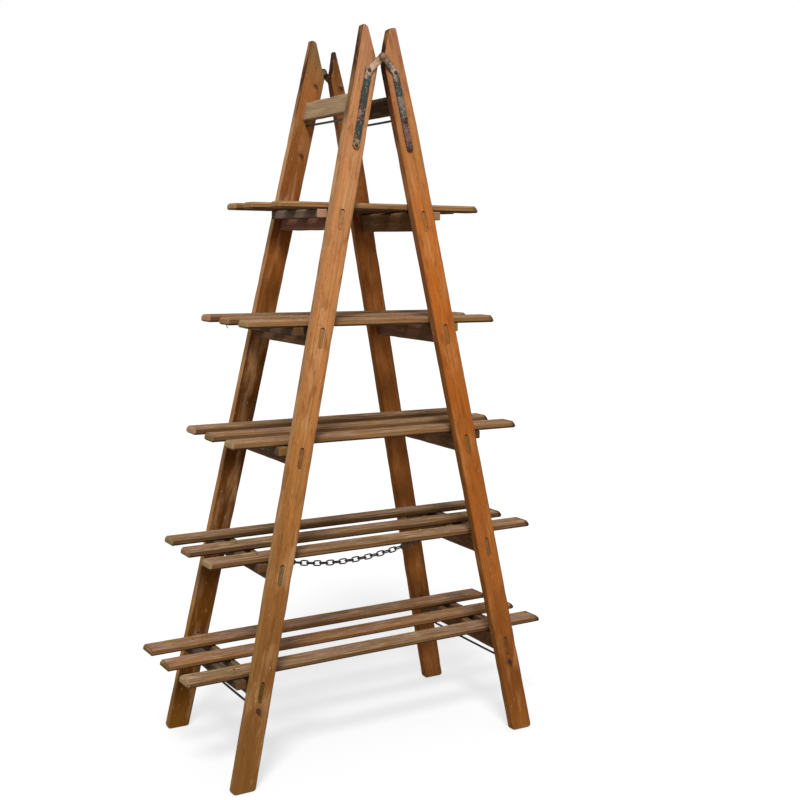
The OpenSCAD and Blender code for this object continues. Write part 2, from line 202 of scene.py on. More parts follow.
def inner_y(s):
    f = settings().frames
    return outer_y(s) - f.leg_thick / math.cos(f.taper)


# How far each rung sits above its even place
RUNG_UNEVEN_MM = [3, -2, -6, 0, 3, 0]


def rung_s(k):
    """Where a rung's middle is, along the frame."""
    r = settings().rungs
    uneven = RUNG_UNEVEN_MM[k - 1] * MM
    return r.first + (k - 1) * r.pitch + uneven + (r.top_pitch - r.pitch if k > SHELVES else 0)


def rod_places():
    """Where the bottom and the top tie rod cross a frame: (toward the other frame, along the frame)."""
    half, iron = settings().rungs.height / 2, settings().iron
    low, high = rung_s(1) - half - iron.rod_drop, rung_s(RUNGS) - half - iron.top_rod_drop
    return [(0, low), (iron.strap_shift, high)]


def frame_place(side):
    """Directions of the left or right frame: x toward the other frame, z along the frame."""
    place = Matrix.Translation((-foot_x(), 0, 0)) @ Matrix.Rotation(LEAN, 4, "Y")
    return place if side == LEFT else Matrix.Scale(-1, 4, (1, 0, 0)) @ place


def leg_place(side, depth):
    """Directions of a leg: y into the leg from its broad outer side, z along it."""
    f = settings().frames
    place = Matrix.Translation((0, -f.floor_width / 2, 0)) @ Matrix.Rotation(-f.taper, 4, "X")
    if depth == FAR:
        place = Matrix.Scale(-1, 4, (0, 1, 0)) @ place
    return frame_place(side) @ place


def ladder(side):
    """Name of a frame's body."""
    return f"{SIDE_NAME[side]}_ladder"


# ---- making pieces ----


def linked(name, data):
    """A new object in the scene, at the origin."""
    made = bpy.data.objects.new(name, data)
    bpy.context.scene.collection.objects.link(made)
    return made


def new_piece(name, mesh, body):
    """An object for the mesh, at the origin, riding on a body."""
    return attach(linked(name, mesh), body)


def coat(piece, material):
    """Gives a piece its one material, by name."""
    piece.data.materials.clear()
    piece.data.materials.append(material_of(material))
    return piece


def finished(host):
    """An object's mesh as its modifiers shape it; the object goes."""
    view = bpy.context.evaluated_depsgraph_get()
    made = bpy.data.meshes.new_from_object(host.evaluated_get(view))
    bpy.data.objects.remove(host)
    return made


def new_mesh(name, corners, edges=(), faces=()):
    mesh = bpy.data.meshes.new(name)
    mesh.from_pydata(corners, edges, faces)
    return mesh


def placed(mesh, place):
    """Moves a mesh to its place; a mirrored one is turned right side out."""
    mesh.transform(place)
    if place.determinant() < 0:
        mesh.flip_normals()
    return mesh


def smooth(mesh, sharp_deg=38):
    """Smooth shading that keeps the edges sharper than the given angle."""
    mesh.shade_smooth()
    mesh.set_sharp_from_angle(angle=math.radians(sharp_deg))
    return mesh


# Kind and field of an attribute, by how many numbers it holds
ATTRIBUTE_KINDS = {1: ("FLOAT", "value"), 3: ("FLOAT_VECTOR", "vector"), 4: ("FLOAT_COLOR", "color")}


def mark(mesh, label, values, domain="POINT"):
    """Stores an attribute that the node trees read: one number, direction or colour for each point or face."""
    values = np.array(values, np.float32)
    kind, field = ATTRIBUTE_KINDS[values.size // len(values)]
    mesh.attributes.new(label, kind, domain).data.foreach_set(field, values.ravel())


def own_points(mesh, place):
    """The points of a mesh in a piece's own directions."""
    spots = np.array([(*vertex.co, 1) for vertex in mesh.vertices])
    return (spots @ np.array(place.inverted()).T)[:, :3]


EDGE_BAND = 9 * MM
# Moves each piece to its own part of the grain
GRAIN_STEP = np.array([1.37, 0.31, 0])


def mark_wood(mesh, place, seed, half):
    """Attributes of a wooden piece: place along the grain, reach along the piece, nearness to its long edges and,
    for each face, the way that it looks. Gives back the faces' ways and the points, in the piece's own directions."""
    local = own_points(mesh, place)
    ways = np.array([face.normal for face in mesh.polygons]) @ np.array(place.to_3x3())
    mark(mesh, "grain", local + seed * GRAIN_STEP)
    mark(mesh, "reach", local[:, 0])
    mark(mesh, "edge", np.clip(1 - (np.array(half) - np.abs(local[:, 1:])) / EDGE_BAND, 0, 1).min(axis=1))
    mark(mesh, "way", ways, "FACE")
    return ways, local


def stain(mesh, colour):
    """Gives all faces of a mesh the base colour that its material reads."""
    mark(mesh, "stain", [(*colour, 1)] * len(mesh.polygons), "FACE")
    return mesh


CORNER_STEPS = 3
BAR_CUTS = (3, 5)
NEARLY_ROUND = 0.98
CORNERS = [(1, -1), (1, 1), (-1, 1), (-1, -1)]


def section(width, thick, edge_round, across, through):
    """Points round a rounded rectangle, centred: (x, y, 1 on a corner). Each side along x is cut into across parts
    and each side along y into through parts."""
    half_w, half_t = width / 2 - edge_round, thick / 2 - edge_round

    def on_corner(corner, degrees):
        cx, cy = CORNERS[corner % 4]
        turn = math.radians(degrees)
        return np.array((cx * half_w + edge_round * math.cos(turn), cy * half_t + edge_round * math.sin(turn)))

    points = []
    for corner in range(4):
        turns = [corner * 90 - 90 + 90 * i / CORNER_STEPS for i in range(CORNER_STEPS + 1)]
        points += [(*on_corner(corner, turn), 1) for turn in turns]
        start, end = on_corner(corner, corner * 90), on_corner(corner + 1, corner * 90)
        run = through if corner in (0, 2) else across
        points += [(*(start + (end - start) * i / run), 0) for i in range(1, run)]
    return np.array(points)


def rounded_slot(wide, tall):
    """Section of a tenon: a bar with round ends, which stay a little short of half circles."""
    return section(wide, tall, wide / 2 * NEARLY_ROUND, *BAR_CUTS)


def skin(name, rings):
    """Closed mesh over rings of points, with its end rings filled."""
    count, size = len(rings), len(rings[0])
    faces = []
    for k in range(count - 1):
        low, high = k * size, (k + 1) * size
        faces += [(low + i, low + (i + 1) % size, high + (i + 1) % size, high + i) for i in range(size)]
    faces += [tuple(range(size))[::-1], tuple(range((count - 1) * size, count * size))]
    return new_mesh(name, np.concatenate(rings).tolist(), [], faces)


def roughly(point, size, seed):
    """Smooth noise from -1 to 1 with features of the given size."""
    return noise.noise(Vector(point) / size + Vector((seed * 17.3, seed * 5.1, seed * 9.7)))


# ---- node trees ----


class Net:
    """A node tree, with short ways to add its nodes."""

    def __init__(self, tree):
        self.tree = tree
        tree.nodes.clear()

    def add(self, kind, inputs=None, **options):
        """Adds a node and gives its outputs; each input is a value or another node's output."""
        node = self.tree.nodes.new(kind)
        for option, value in options.items():
            setattr(node, option, value)
        for key, value in (inputs or {}).items():
            if isinstance(value, bpy.types.NodeSocket):
                self.tree.links.new(value, node.inputs[key])
            else:
                node.inputs[key].default_value = value
        return node.outputs

    def calc(self, operation, *values, **options):
        """Arithmetic on numbers."""
        return self.add("ShaderNodeMath", dict(enumerate(values)), operation=operation, **options)[0]

    def vector(self, operation, *values):
        """Arithmetic on vectors."""
        return self.add("ShaderNodeVectorMath", dict(enumerate(values)), operation=operation)[0]

    def scaled(self, way, amount):
        return self.add("ShaderNodeVectorMath", {0: way, "Scale": amount}, operation="SCALE")[0]

    def ranged(self, value, low=0.0, high=1.0, to_low=0.0, to_high=1.0, **options):
        """Takes a value from one range to another, and no further than its ends."""
        limits = {"Value": value, "From Min": low, "From Max": high, "To Min": to_low, "To Max": to_high}
        return self.add("ShaderNodeMapRange", limits, **options)["Result"]

    def joined(self, **parts):
        return self.add("ShaderNodeCombineXYZ", parts)[0]

    def split(self, way):
        return self.add("ShaderNodeSeparateXYZ", {0: way})

    def mixed(self, amount, under, over):
        """A mix of two colours; the Mix node's inputs 6 and 7 and its output 2 are its colours."""
        return self.add("ShaderNodeMix", {0: amount, 6: under, 7: over}, data_type="RGBA")[2]


class Surface(Net):
    """A new material, patterned along the grain of wood or else in the object's own space."""

    def __init__(self, name, grain=False, looks=None):
        self.looks = looks or {}
        self.material = bpy.data.materials.new(name)
        self.material.use_nodes = True
        super().__init__(self.material.node_tree)
        self.place = self.read("grain", "Vector") if grain else self.add("ShaderNodeTexCoord")["Object"]

    def read(self, name, output="Fac"):
        """A stored attribute."""
        return self.add("ShaderNodeAttribute", attribute_name=name)[output]

    def patches(self, along, across, start, full, detail=3, seed=0.0):
        """Mask from 0 to 1 of soft patches with the given size in millimetres, longer along the grain."""
        scale = (1 / (along * MM), 1 / (across * MM), 1 / (across * MM))
        spot = self.vector("MULTIPLY_ADD", self.place, scale, (seed, seed, seed))
        field = self.add("ShaderNodeTexNoise", {"Vector": spot, "Scale": 1.0, "Detail": detail})["Fac"]
        return self.ranged(field, start, full, interpolation_type="SMOOTHSTEP")

    def specks(self, apart, size, seed):
        """Mask of scattered round specks: apart and size in millimetres."""
        spot = self.vector("ADD", self.place, (seed, seed, seed))
        cells = self.add("ShaderNodeTexVoronoi", {"Vector": spot, "Scale": 1 / (apart * MM)})["Distance"]
        return self.ranged(cells, size / apart, size / apart * 0.6)

    def along(self, run, drift, stops):
        """Colours along a piece's reach, up to the given run, with borders that wander by the drift mask; stops are
        (share of the run, colour) pairs."""
        share = self.calc("MULTIPLY_ADD", self.read("reach"), 1 / run, drift)
        node = self.tree.nodes.new("ShaderNodeValToRGB")
        self.tree.links.new(share, node.inputs[0])
        for i, (place, colour) in enumerate(stops):
            stop = node.color_ramp.elements[i] if i < 2 else node.color_ramp.elements.new(place)
            stop.position = place
            stop.color = (*linear(colour), 1)
        return node.outputs[0]

    def layered(self, base, layers):
        """Colour made of a base and layers over it, each a mask, a strength and a colour. A mask can be given as
        the numbers of its patches, and a colour as sRGB hex or as its name in the material's looks."""
        for mask, strength, over in layers:
            mask = self.patches(*mask) if isinstance(mask, tuple) else mask
            if isinstance(over, str):
                over = (*linear(self.looks.get(over, over)), 1)
            base = self.mixed(self.calc("MULTIPLY", mask, strength, use_clamp=True), base, over)
        return base

    def finish(self, colour, height, depth_mm, strength, roughness, specular=0.5, metallic=0.0):
        """Ends the material with fine relief under its shader."""
        bump = {"Height": height, "Distance": depth_mm * MM, "Strength": strength}
        looks = {"Base Color": colour, "Normal": self.add("ShaderNodeBump", bump)["Normal"]}
        looks |= {"Roughness": roughness, "Specular IOR Level": specular, "Metallic": metallic}
        shader = self.add("ShaderNodeBsdfPrincipled", looks)["BSDF"]
        self.add("ShaderNodeOutputMaterial", {"Surface": shader})
        return self.material


SOCKETS = {float: "NodeSocketFloat", int: "NodeSocketInt", tuple: "NodeSocketVector"}


def spoken(name):
    """Label made from a name: edge_bevel becomes Edge bevel."""
    return name.replace("_", " ").capitalize()


class Shape(Net):
    """A new geometry tree with named inputs and their defaults, the last of them its material."""

    def __init__(self, name, **inputs):
        super().__init__(bpy.data.node_groups.new(name, "GeometryNodeTree"))
        sockets = self.tree.interface
        sockets.new_socket("Geometry", in_out="INPUT", socket_type="NodeSocketGeometry")
        for label, default in inputs.items():
            socket = sockets.new_socket(spoken(label), in_out="INPUT", socket_type=SOCKETS[type(default)])
            socket.default_value = default
        sockets.new_socket("Material", in_out="INPUT", socket_type="NodeSocketMaterial")
        sockets.new_socket("Geometry", in_out="OUTPUT", socket_type="NodeSocketGeometry")
        self.given = self.add("NodeGroupInput")

    def noise(self, place, seed, scale, detail):
        """Noise with its own pattern for each seed."""
        inputs = {"Vector": place, "W": seed, "Scale": scale, "Detail": detail}
        return self.add("ShaderNodeTexNoise", inputs, noise_dimensions="4D")

    def on_points(self, shape, facing):
        """Ends the tree with the shape on each given point, its top turned to face a way."""
        turned = self.add("FunctionNodeAlignRotationToVector", {"Vector": facing}, axis="Z")[0]
        points = self.add("GeometryNodeMeshToPoints", {"Mesh": self.given["Geometry"]})[0]
        made = {"Points": points, "Instance": shape, "Rotation": turned}
        return self.finish(self.add("GeometryNodeInstanceOnPoints", made)[0])

    def finish(self, geometry):
        """Ends the tree: instances made real, then the material."""
        real = self.add("GeometryNodeRealizeInstances", {"Geometry": geometry})[0]
        done = self.add("GeometryNodeSetMaterial", {"Geometry": real, "Material": self.given["Material"]})[0]
        self.add("NodeGroupOutput", {"Geometry": done})
        return self.tree


def run_tree(name, maker, material, points=None, **values):
    """The mesh that a maker's tree makes of the points, with a material and values for the tree's other inputs. The
    tree is made once."""
    tree = bpy.data.node_groups.get(spoken(maker.__name__)) or maker()
    host = linked(name, points or bpy.data.meshes.new(name))
    modifier = host.modifiers.new("Shape", "NODES")
    modifier.node_group = tree
    for label, value in {**values, "material": material_of(material)}.items():
        modifier[tree.interface.items_tree[spoken(label)].identifier] = value
    return finished(host)


# ---- materials ----

# A face looks a way when more than this much of its normal points there
MOSTLY, TIP_MOSTLY = 0.6, 0.55


def oiled_pine(name, looks):
    """Pine that was oiled and varnished long ago: warm, streaked and blotched along the grain, paler toward the top
    and darker at its foot, partly its own colour and partly painted light and shade, and darker along its edges,
    partly grime and partly painted shade. Each of a leg's faces has its own colours."""
    net = Surface(name, grain=True, looks=looks)
    edge = net.read("edge")
    way = net.split(net.read("way", "Vector"))
    inner = net.calc("GREATER_THAN", way["Z"], MOSTLY)
    narrow = net.calc("GREATER_THAN", net.calc("ABSOLUTE", way["Y"]), MOSTLY)
    tip = net.calc("GREATER_THAN", way["X"], TIP_MOSTLY)
    drift = net.ranged(net.patches(90, 30, 0.2, 0.8, detail=4, seed=1), to_low=-0.03, to_high=0.03)
    outer, inside, side = (
        net.along(settings().frames.leg_length, drift, looks[face]) for face in ("outer", "inner", "narrow")
    )
    lines = net.patches(170, 1.5, 0.38, 0.7, detail=2, seed=3)
    layers = [
        (inner, 1.0, inside),
        (narrow, 1.0, side),
        ((130, 26, 0.48, 0.7, 4, 5), 0.42, "light"),
        ((55, 15, 0.52, 0.7, 5, 8), 0.46, "dark"),
        ((240, 5, 0.38, 0.68, 4), 0.24, "dark"),
        (lines, 0.3, "line"),
        ((13, 2.2, 0.62, 0.72, 2, 12), 0.5, "line"),
        ((20, 5, 0.64, 0.76, 3, 15), 0.45, "light"),
        # Darker along the edges: partly grime and partly painted shade.
        (edge, 0.25, "dark"),
        (net.ranged(edge, 0.7), 0.35, "line"),
        (tip, 0.92, "#1c120a"),
        (net.specks(30, 2.0, 0.7), 0.6, "#3a2112"),
    ]
    return net.finish(net.layered(outer, layers), lines, 0.3, 0.6, roughness=0.75, specular=0.08)


# The left ladder is tan, the right one a stronger orange; places run from the foot to the tip. The stops hold painted
# light and shade as well as the wood's colour: the faces are paler toward the top partly as painted light, the inner
# faces turn dark just under the fifth shelf as its painted shadow, and the right legs' inner stops are lifted where
# the shelves shade them.
LEFT_PINE = {
    "outer": [
        (0.0, "#7f5527"), (0.2, "#8a5c2e"), (0.42, "#b67a40"), (0.65, "#cd8951"), (0.9, "#cf9162"), (1.0, "#b9805c"),
    ],
    "inner": [
        (0.0, "#7c4e12"), (0.12, "#6b3e0a"), (0.54, "#57300a"), (0.65, "#a86528"), (0.75, "#82471a"),
        (0.93, "#b0703a"), (1.0, "#7c6a46"),
    ],
    "narrow": [
        (0.0, "#7e5a2e"), (0.22, "#98713f"), (0.6, "#b8895f"), (0.86, "#bd9063"), (0.93, "#2a1a0d"), (1.0, "#140c07"),
    ],
    "light": "#dcab78",
    "dark": "#74461f",
    "line": "#4c2c14",
}
RIGHT_PINE = {
    "outer": [
        (0.0, "#8f5722"), (0.1, "#784418"), (0.25, "#a8632a"), (0.42, "#a45c20"), (0.7, "#c7702b"),
        (0.86, "#c07f48"), (1.0, "#bb7f5c"),
    ],
    "inner": [
        (0.0, "#a96b38"), (0.1, "#945c2b"), (0.51, "#a86932"), (0.64, "#c67a3a"), (0.73, "#8e5323"),
        (0.94, "#966234"), (1.0, "#2a1f12"),
    ],
    "narrow": [
        (0.0, "#8d5a29"), (0.15, "#81501f"), (0.5, "#84521f"), (0.85, "#a06a44"), (0.91, "#2c190c"), (1.0, "#140b05"),
    ],
    "light": "#d6985c",
    "dark": "#7c451c",
    "line": "#4e2810",
}


def worn_ash(name):
    """Ash rungs worn by boots and handled dark: dull brown with paler rubbed edges and black flecks. The rounded
    tenon ends took the stain of the legs."""
    net = Surface(name, grain=True)
    lines = net.patches(110, 2, 0.35, 0.7, seed=2)
    layers = [
        ((120, 7, 0.42, 0.7), 0.35, "#3a2616"),
        ((60, 14, 0.5, 0.75, 4, 4), 0.28, "#b08c68"),
        (lines, 0.3, "#2f1e12"),
        (net.specks(11, 1.6, 3.0), 0.6, "#33221a"),
        (net.read("edge"), 0.18, "#b79a74"),
    ]
    colour = net.layered(net.read("stain", "Color"), layers)
    return net.finish(colour, lines, 0.3, 0.6, roughness=0.8, specular=0.08)


# Where a board's ends are sawn, which slant more at the last end: way is below -0.6 or above 0.25
SAWN_MIDDLE, SAWN_REACH = -0.175, 0.425


def weathered_softwood(name, top, side, looks):
    """Sawn softwood left outdoors: rained-on tops go beige-grey with mauve patches, sides stay brown and are darker
    on the lower shelves, partly their own colour and partly painted shade from the shelves above, undersides are
    painted nearly black as shade, and dark grain lines stand out. Some boards stayed warmer; the cleats are made
    darker all over as painted shade and the slats darker toward their right ends, and each sawn end has its own
    colour."""
    net = Surface(name, grain=True, looks=looks)
    way, warm = net.split(net.read("way", "Vector")), net.read("warm")
    sawn = net.calc("ABSOLUTE", net.calc("SUBTRACT", way["X"], SAWN_MIDDLE))
    sawn = net.calc("GREATER_THAN", sawn, SAWN_REACH)
    lines = net.patches(150, 2.0, 0.38, 0.68, seed=2)
    rained_on = [
        (warm, 0.7, "warm"),
        ((80, 22, 0.44, 0.6, 4, 3), 0.65, "mauve"),
        ((100, 16, 0.48, 0.64, 4, 6), 0.55, "khaki"),
        ((60, 9, 0.53, 0.66, 4, 9), 0.65, "pale"),
        ((120, 6, 0.46, 0.68, 4), 0.5, "dark"),
    ]
    sheltered = [
        # Tone darkens the sides: on the slats partly their own colour and partly painted shade from the shelves
        # above, on the cleats painted shade.
        (net.read("tone"), 1.0, "low side"),
        (warm, 0.5, "warm"),
        ((200, 7, 0.4, 0.66, 4), 0.4, "dark"),
        ((90, 8, 0.54, 0.72, 4, 6), 0.3, "khaki"),
    ]
    layers = [
        (net.ranged(way["Z"], 0.55, 0.9), 1.0, net.layered((*top, 1), rained_on)),
        # Faces that look down are painted nearly black as shade.
        (net.ranged(way["Z"], -0.3, -0.8), 0.9, "under"),
        ((30, 7, 0.6, 0.74, 4, 13), 0.5, "line"),
        (lines, 0.4, "line"),
        (net.read("edge"), 0.12, "pale"),
        # Darkening over the board: painted shade on the cleats, and on the slats darker toward their right ends.
        (net.read("darkening"), 1.0, "line"),
        (sawn, 0.75, net.read("stain", "Color")),
    ]
    colour = net.layered(net.layered((*side, 1), sheltered), layers)
    return net.finish(colour, lines, 0.5, 0.8, roughness=0.9, specular=0.06)


# In both tables 'under' is painted shade for faces that look down.
SLAT_LOOKS = {
    "low side": "#55361c", "under": "#38240f", "dark": "#4e3216", "mauve": "#a07e76", "khaki": "#84743f",
    "pale": "#c3a883", "warm": "#a9693a", "line": "#33200f",
}
CLEAT_LOOKS = {
    "low side": "#4a3524", "under": "#33231a", "dark": "#49382c", "mauve": "#8c7a70", "khaki": "#7c6f50",
    "pale": "#b3a493", "warm": "#9a6238", "line": "#2c1a10",
}


def old_strap_paint(name, bands):
    """Forged wrought iron straps under many old coats: teal-black paint in stretches, pale primer where the strap
    is bent and bolted, rust between them, all chipped into each other, with a dull sheen."""
    net = Surface(name)
    drift = net.ranged(net.patches(9, 9, 0.2, 0.8, detail=5), to_low=-0.07, to_high=0.07)
    chips = net.patches(6, 6, 0.54, 0.64, detail=5, seed=4)
    layers = [
        (chips, 0.65, "#2b2623"),
        ((5, 5, 0.56, 0.68, 4, 7), 0.5, "#7c5242"),
        ((3, 3, 0.6, 0.7, 4, 11), 0.6, "#b9a591"),
        (net.specks(8, 1.6, 2.0), 0.6, "#cbb9a4"),
        # Dark rim along the strap's edges: painted shade. Tone next makes the far straps' eyes darker.
        (net.read("edge"), 0.7, "#35241a"),
        (net.read("tone"), 1.0, "#2c1e17"),
    ]
    colour = net.layered(net.along(STRAP_REACH, drift, bands), layers)
    return net.finish(colour, chips, 0.4, 0.7, roughness=0.65, specular=0.25, metallic=0.1)


# Along a strap from its bottom bolt to its eye
STRAP_REACH = 300 * MM
LEFT_BANDS = [
    (0.0, "#a98d62"), (0.06, "#2e3833"), (0.2, "#2e3833"), (0.24, "#ab8a7a"), (0.3, "#373230"),
    (0.46, "#35413c"), (0.57, "#3e4843"), (0.66, "#d0b092"), (0.78, "#c8a484"), (0.88, "#b08462"),
]
RIGHT_BANDS = [
    (0.0, "#4e342a"), (0.07, "#7d5a50"), (0.19, "#6f4f46"), (0.24, "#4a3027"), (0.32, "#57615a"), (0.4, "#8a7a72"),
    (0.47, "#343f3a"), (0.58, "#38443e"), (0.67, "#cdb49c"), (0.78, "#5c4b39"), (0.88, "#a07f62"),
]


def rusted_steel(name):
    """Mild steel bolts, nuts, nails and pins gone to brown rust: matt, mottled orange to near black, pitted."""
    net = Surface(name)
    pits = net.patches(3, 3, 0.45, 0.68, detail=5)
    layers = [(pits, 0.6, "#1e130e"), ((5, 5, 0.5, 0.7, 3, 3), 0.35, "#8a5232")]
    colour = net.layered(net.read("stain", "Color"), layers)
    return net.finish(colour, pits, 0.3, 0.8, roughness=0.65, metallic=0.15)


def blackened_iron(name, colour):
    """Wrought iron chain and eyes, blackened by age: dark grey-brown with faint rust and a dull metal sheen."""
    net = Surface(name)
    mottle = net.patches(6, 6, 0.42, 0.65, detail=4)
    colour = net.layered((*colour, 1), [(mottle, 0.5, "#3c2a22")])
    return net.finish(colour, mottle, 0.2, 0.6, roughness=0.55, metallic=0.3)


def material_of(name):
    """The finished material of that name, made the first time it is asked for."""
    if name in bpy.data.materials:
        return bpy.data.materials[name]
    colours = settings().colours
    makers = {
        "tan_pine": (oiled_pine, LEFT_PINE),
        "orange_pine": (oiled_pine, RIGHT_PINE),
        "worn_ash": (worn_ash,),
        "weathered_slats": (weathered_softwood, colours.slat, colours.slat_side, SLAT_LOOKS),
        "grey_cleats": (weathered_softwood, colours.cleat, colours.cleat, CLEAT_LOOKS),
        "left_strap_paint": (old_strap_paint, LEFT_BANDS),
        "right_strap_paint": (old_strap_paint, RIGHT_BANDS),
        "rusted_steel": (rusted_steel,),
        "blackened_iron": (blackened_iron, colours.iron),
    }
    maker, *given = makers[name]
    return maker(name, *given)


# ---- legs ----

FOOT_ROUND = 9 * MM
LEG_ROUND = 2.6 * MM
LEG_CUTS = (9, 4)
LEG_STEP = 13 * MM
TOP_STEP = 8 * MM
END_EASE = 1.8 * MM
POINT_WIDTH = 2 * MM
# How a tip is rounded over: (distance below its end, how far its sides move in)
TIP_WORN = [(4 * MM, 0.0), (2 * MM, 0.8 * MM), (0.7 * MM, 2 * MM), (0.0, 3.6 * MM)]
STRAIGHT_FROM = 36 * MM
STRAIGHT_TO = 1690 * MM
# Sizes of the hollows and dents along an edge and of the waves of a face, and a wave's depth
HOLLOW, DENT, WAVE = 55 * MM, 14 * MM, 90 * MM
FACE_WAVE = 0.25 * MM
LEAST_WORN, MOST_WORN = 0.12, 1.2
LEG_ORDER = [(LEFT, NEAR), (LEFT, FAR), (RIGHT, NEAR), (RIGHT, FAR)]
LEG_AXES = Matrix(((0, 0, 1, 0), (1, 0, 0, 0), (0, 1, 0, 0), (0, 0, 0, 1)))


def foot_line(a):
    """Where a leg's rounded, level-cut foot ends, at distance a across the leg."""
    half = settings().frames.leg_width / 2
    for side in (-1, 1):
        middle = side * (half - FOOT_ROUND)
        rise = middle * math.tan(LEAN) + FOOT_ROUND / math.cos(LEAN)
        if side * (a - middle - FOOT_ROUND * math.sin(LEAN)) > 0:
            return rise - math.sqrt(max(0.0, FOOT_ROUND**2 - (a - middle) ** 2))
    return a * math.tan(LEAN)


def leg_top(side, depth):
    """Corners of a leg's top past the shoulder, inner edge and outer edge, each toward the tip: (offset toward the
    other frame, depth below the leg's length)."""
    f = settings().frames
    half = f.leg_width / 2
    if side == LEFT:
        return [(f.tip_width - half, 0)], [(-half, 0)]
    if depth == NEAR:
        return [(28 * MM, 66 * MM), (-4 * MM, 0)], [(-half, 250 * MM), (7 * MM - half, 0)]
    return [(3 * MM, 13 * MM)], [(-half, f.tip_rise + 58 * MM), (-10 * MM, f.tip_rise - 42 * MM)]


def evenly(start, end, step):
    """Places from start to end, about a step apart."""
    return list(np.linspace(start, end, round((end - start) / step) + 1))


def edge_wear(spot, seed):
    """How far a leg's edge is worn at a spot, as a share of its deepest wear: long hollows and short dents."""
    hollow = LEAST_WORN + (1 - LEAST_WORN) * max(0.0, roughly(spot, HOLLOW, seed)) ** 1.3
    return min(hollow + 0.5 * max(0.0, roughly(spot, DENT, seed + 3) - 0.35), MOST_WORN)


def leg_rings(side, depth, seed):
    """Rings of points up a leg, with worn edges, a level foot and its own cut top."""
    f = settings().frames
    half, thick_half = f.leg_width / 2, f.leg_thick / 2
    pivot_s = foot_x() * math.sin(LEAN) + PIVOT_HEIGHT * math.cos(LEAN)
    inner_top, outer_top = leg_top(side, depth)
    inner = [(0, half), (pivot_s - f.shoulder_drop, half)] + [(f.leg_length - drop, a) for a, drop in inner_top]
    outer = [(0, -half)] + [(f.leg_length - drop, a) for a, drop in outer_top]
    if outer[-1][0] < inner[-1][0]:
        outer.append(inner[-1])
    (inner_s, inner_a), (outer_s, outer_a) = zip(*inner), zip(*outer)

    def edges_at(s):
        return np.interp(s, outer_s, outer_a), np.interp(s, inner_s, inner_a)

    end = inner_s[-1]
    while edges_at(end)[1] - edges_at(end)[0] < POINT_WIDTH:
        end -= 0.5 * MM
    last = end - TIP_WORN[0][0]
    heights = evenly(STRAIGHT_FROM, STRAIGHT_TO, LEG_STEP) + evenly(STRAIGHT_TO, last, TOP_STEP)[1:-1]
    heights += [s for s in (*inner_s, *outer_s) if STRAIGHT_FROM < s < last]
    # Each row: its zone, its height or share of the foot's height, how far it is drawn in and how far it is lifted
    rows = [("foot", 1.0, END_EASE, 0.0), ("foot", 1.0, 0.0, END_EASE), ("foot", 0.45, 0.0, 0.0)]
    rows += [("straight", s, 0.0, 0.0) for s in sorted({round(s, 5) for s in heights})]
    rows += [("straight", end - down, inset, 0.0) for down, inset in TIP_WORN]
    rings = []
    for zone, value, inset, lift in rows:
        low, high = edges_at(0.0 if zone == "foot" else value)
        wide, middle = max(high - low - 2 * inset, 1 * MM), (low + high) / 2
        ring = []
        for across, y, corner in section(wide, f.leg_thick - 2 * inset, min(LEG_ROUND, 0.4 * wide), *LEG_CUTS):
            a = middle + across
            s = value if zone == "straight" else STRAIGHT_FROM + (foot_line(a) - STRAIGHT_FROM) * value + lift
            pull = 1 - (edge_wear((a, y, s), seed) if corner else 0.0) * f.edge_wear / thick_half
            swell = 0.0 if corner else roughly((a, y, s), WAVE, seed + 7) * FACE_WAVE
            centre = middle + math.copysign(max(abs(across) - thick_half, 0.0), across)
            ring.append((centre + (a - centre) * pull, thick_half + y * pull + swell, s))
        rings.append(ring)
    return rings


def mortise_cutter(side, depth):
    """Bars with rounded ends that open a leg's mortises, a little larger than the tenons."""
    r = settings().rungs
    wide, tall = r.tenon + 2 * r.mortise_gap, r.height + 2 * r.mortise_gap
    shape = rounded_slot(wide, tall)
    bars = []
    for k in range(1, RUNGS + 1):
        depths = (inner_y(rung_s(k)) - tall, outer_y(rung_s(k)) + tall)
        rings = [[(x, y, rung_s(k) + z + (r.top_gap if z > 0 else 0)) for x, z, _ in shape[::-1]] for y in depths]
        bars.append(skin("mortise", rings))
    place = frame_place(side)
    if depth == NEAR:
        place = place @ Matrix.Scale(-1, 4, (0, 1, 0))
    return linked("mortises", placed(joined_mesh("mortises", bars), place))


def leg(side, depth, seed):
    """One leg with its mortises cut through."""
    f = settings().frames
    name = f"{DEPTH_NAME[depth]}_{SIDE_NAME[side]}_leg"
    place = leg_place(side, depth)
    mesh = placed(skin(name, leg_rings(side, depth, seed)), place)
    for vertex in mesh.vertices:
        vertex.co.z = max(vertex.co.z, 0.0)
    uncut, cutter = linked(name, mesh), mortise_cutter(side, depth)
    cut = uncut.modifiers.new("Mortises", "BOOLEAN")
    cut.object = cutter
    cut.operation = "DIFFERENCE"
    cut.solver = "EXACT"
    made = finished(uncut)
    bpy.data.objects.remove(cutter)
    centred = place @ Matrix.Translation((0, f.leg_thick / 2, 0)) @ LEG_AXES.inverted()
    mark_wood(made, centred, seed, (f.leg_width / 2, f.leg_thick / 2))
    piece = new_piece(f"worn_{name}", smooth(made), ladder(side))
    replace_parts(coat(piece, "tan_pine" if side == LEFT else "orange_pine"), name)


class PLANTLADDER_OT_legs(bpy.types.Operator):
    """Make the four worn legs with their mortises"""

    bl_idname = "plantladder.legs"
    bl_label = "Legs"

    def execute(self, context):
        for n, (side, depth) in enumerate(LEG_ORDER):
            leg(side, depth, 1 + n)
        return {"FINISHED"}


# ---- rungs ----

RUNG_ROUND = 2.8 * MM
RUNG_STEPS = 34
TENON_SHORT = 0.6 * MM
RUNG_HOLLOW = 45 * MM
RUNG_SEEDS = {LEFT: 20, RIGHT: 30}
RUNG_AXES = Matrix(((0, 1, 0, 0), (1, 0, 0, 0), (0, 0, 1, 0), (0, 0, 0, 1)))
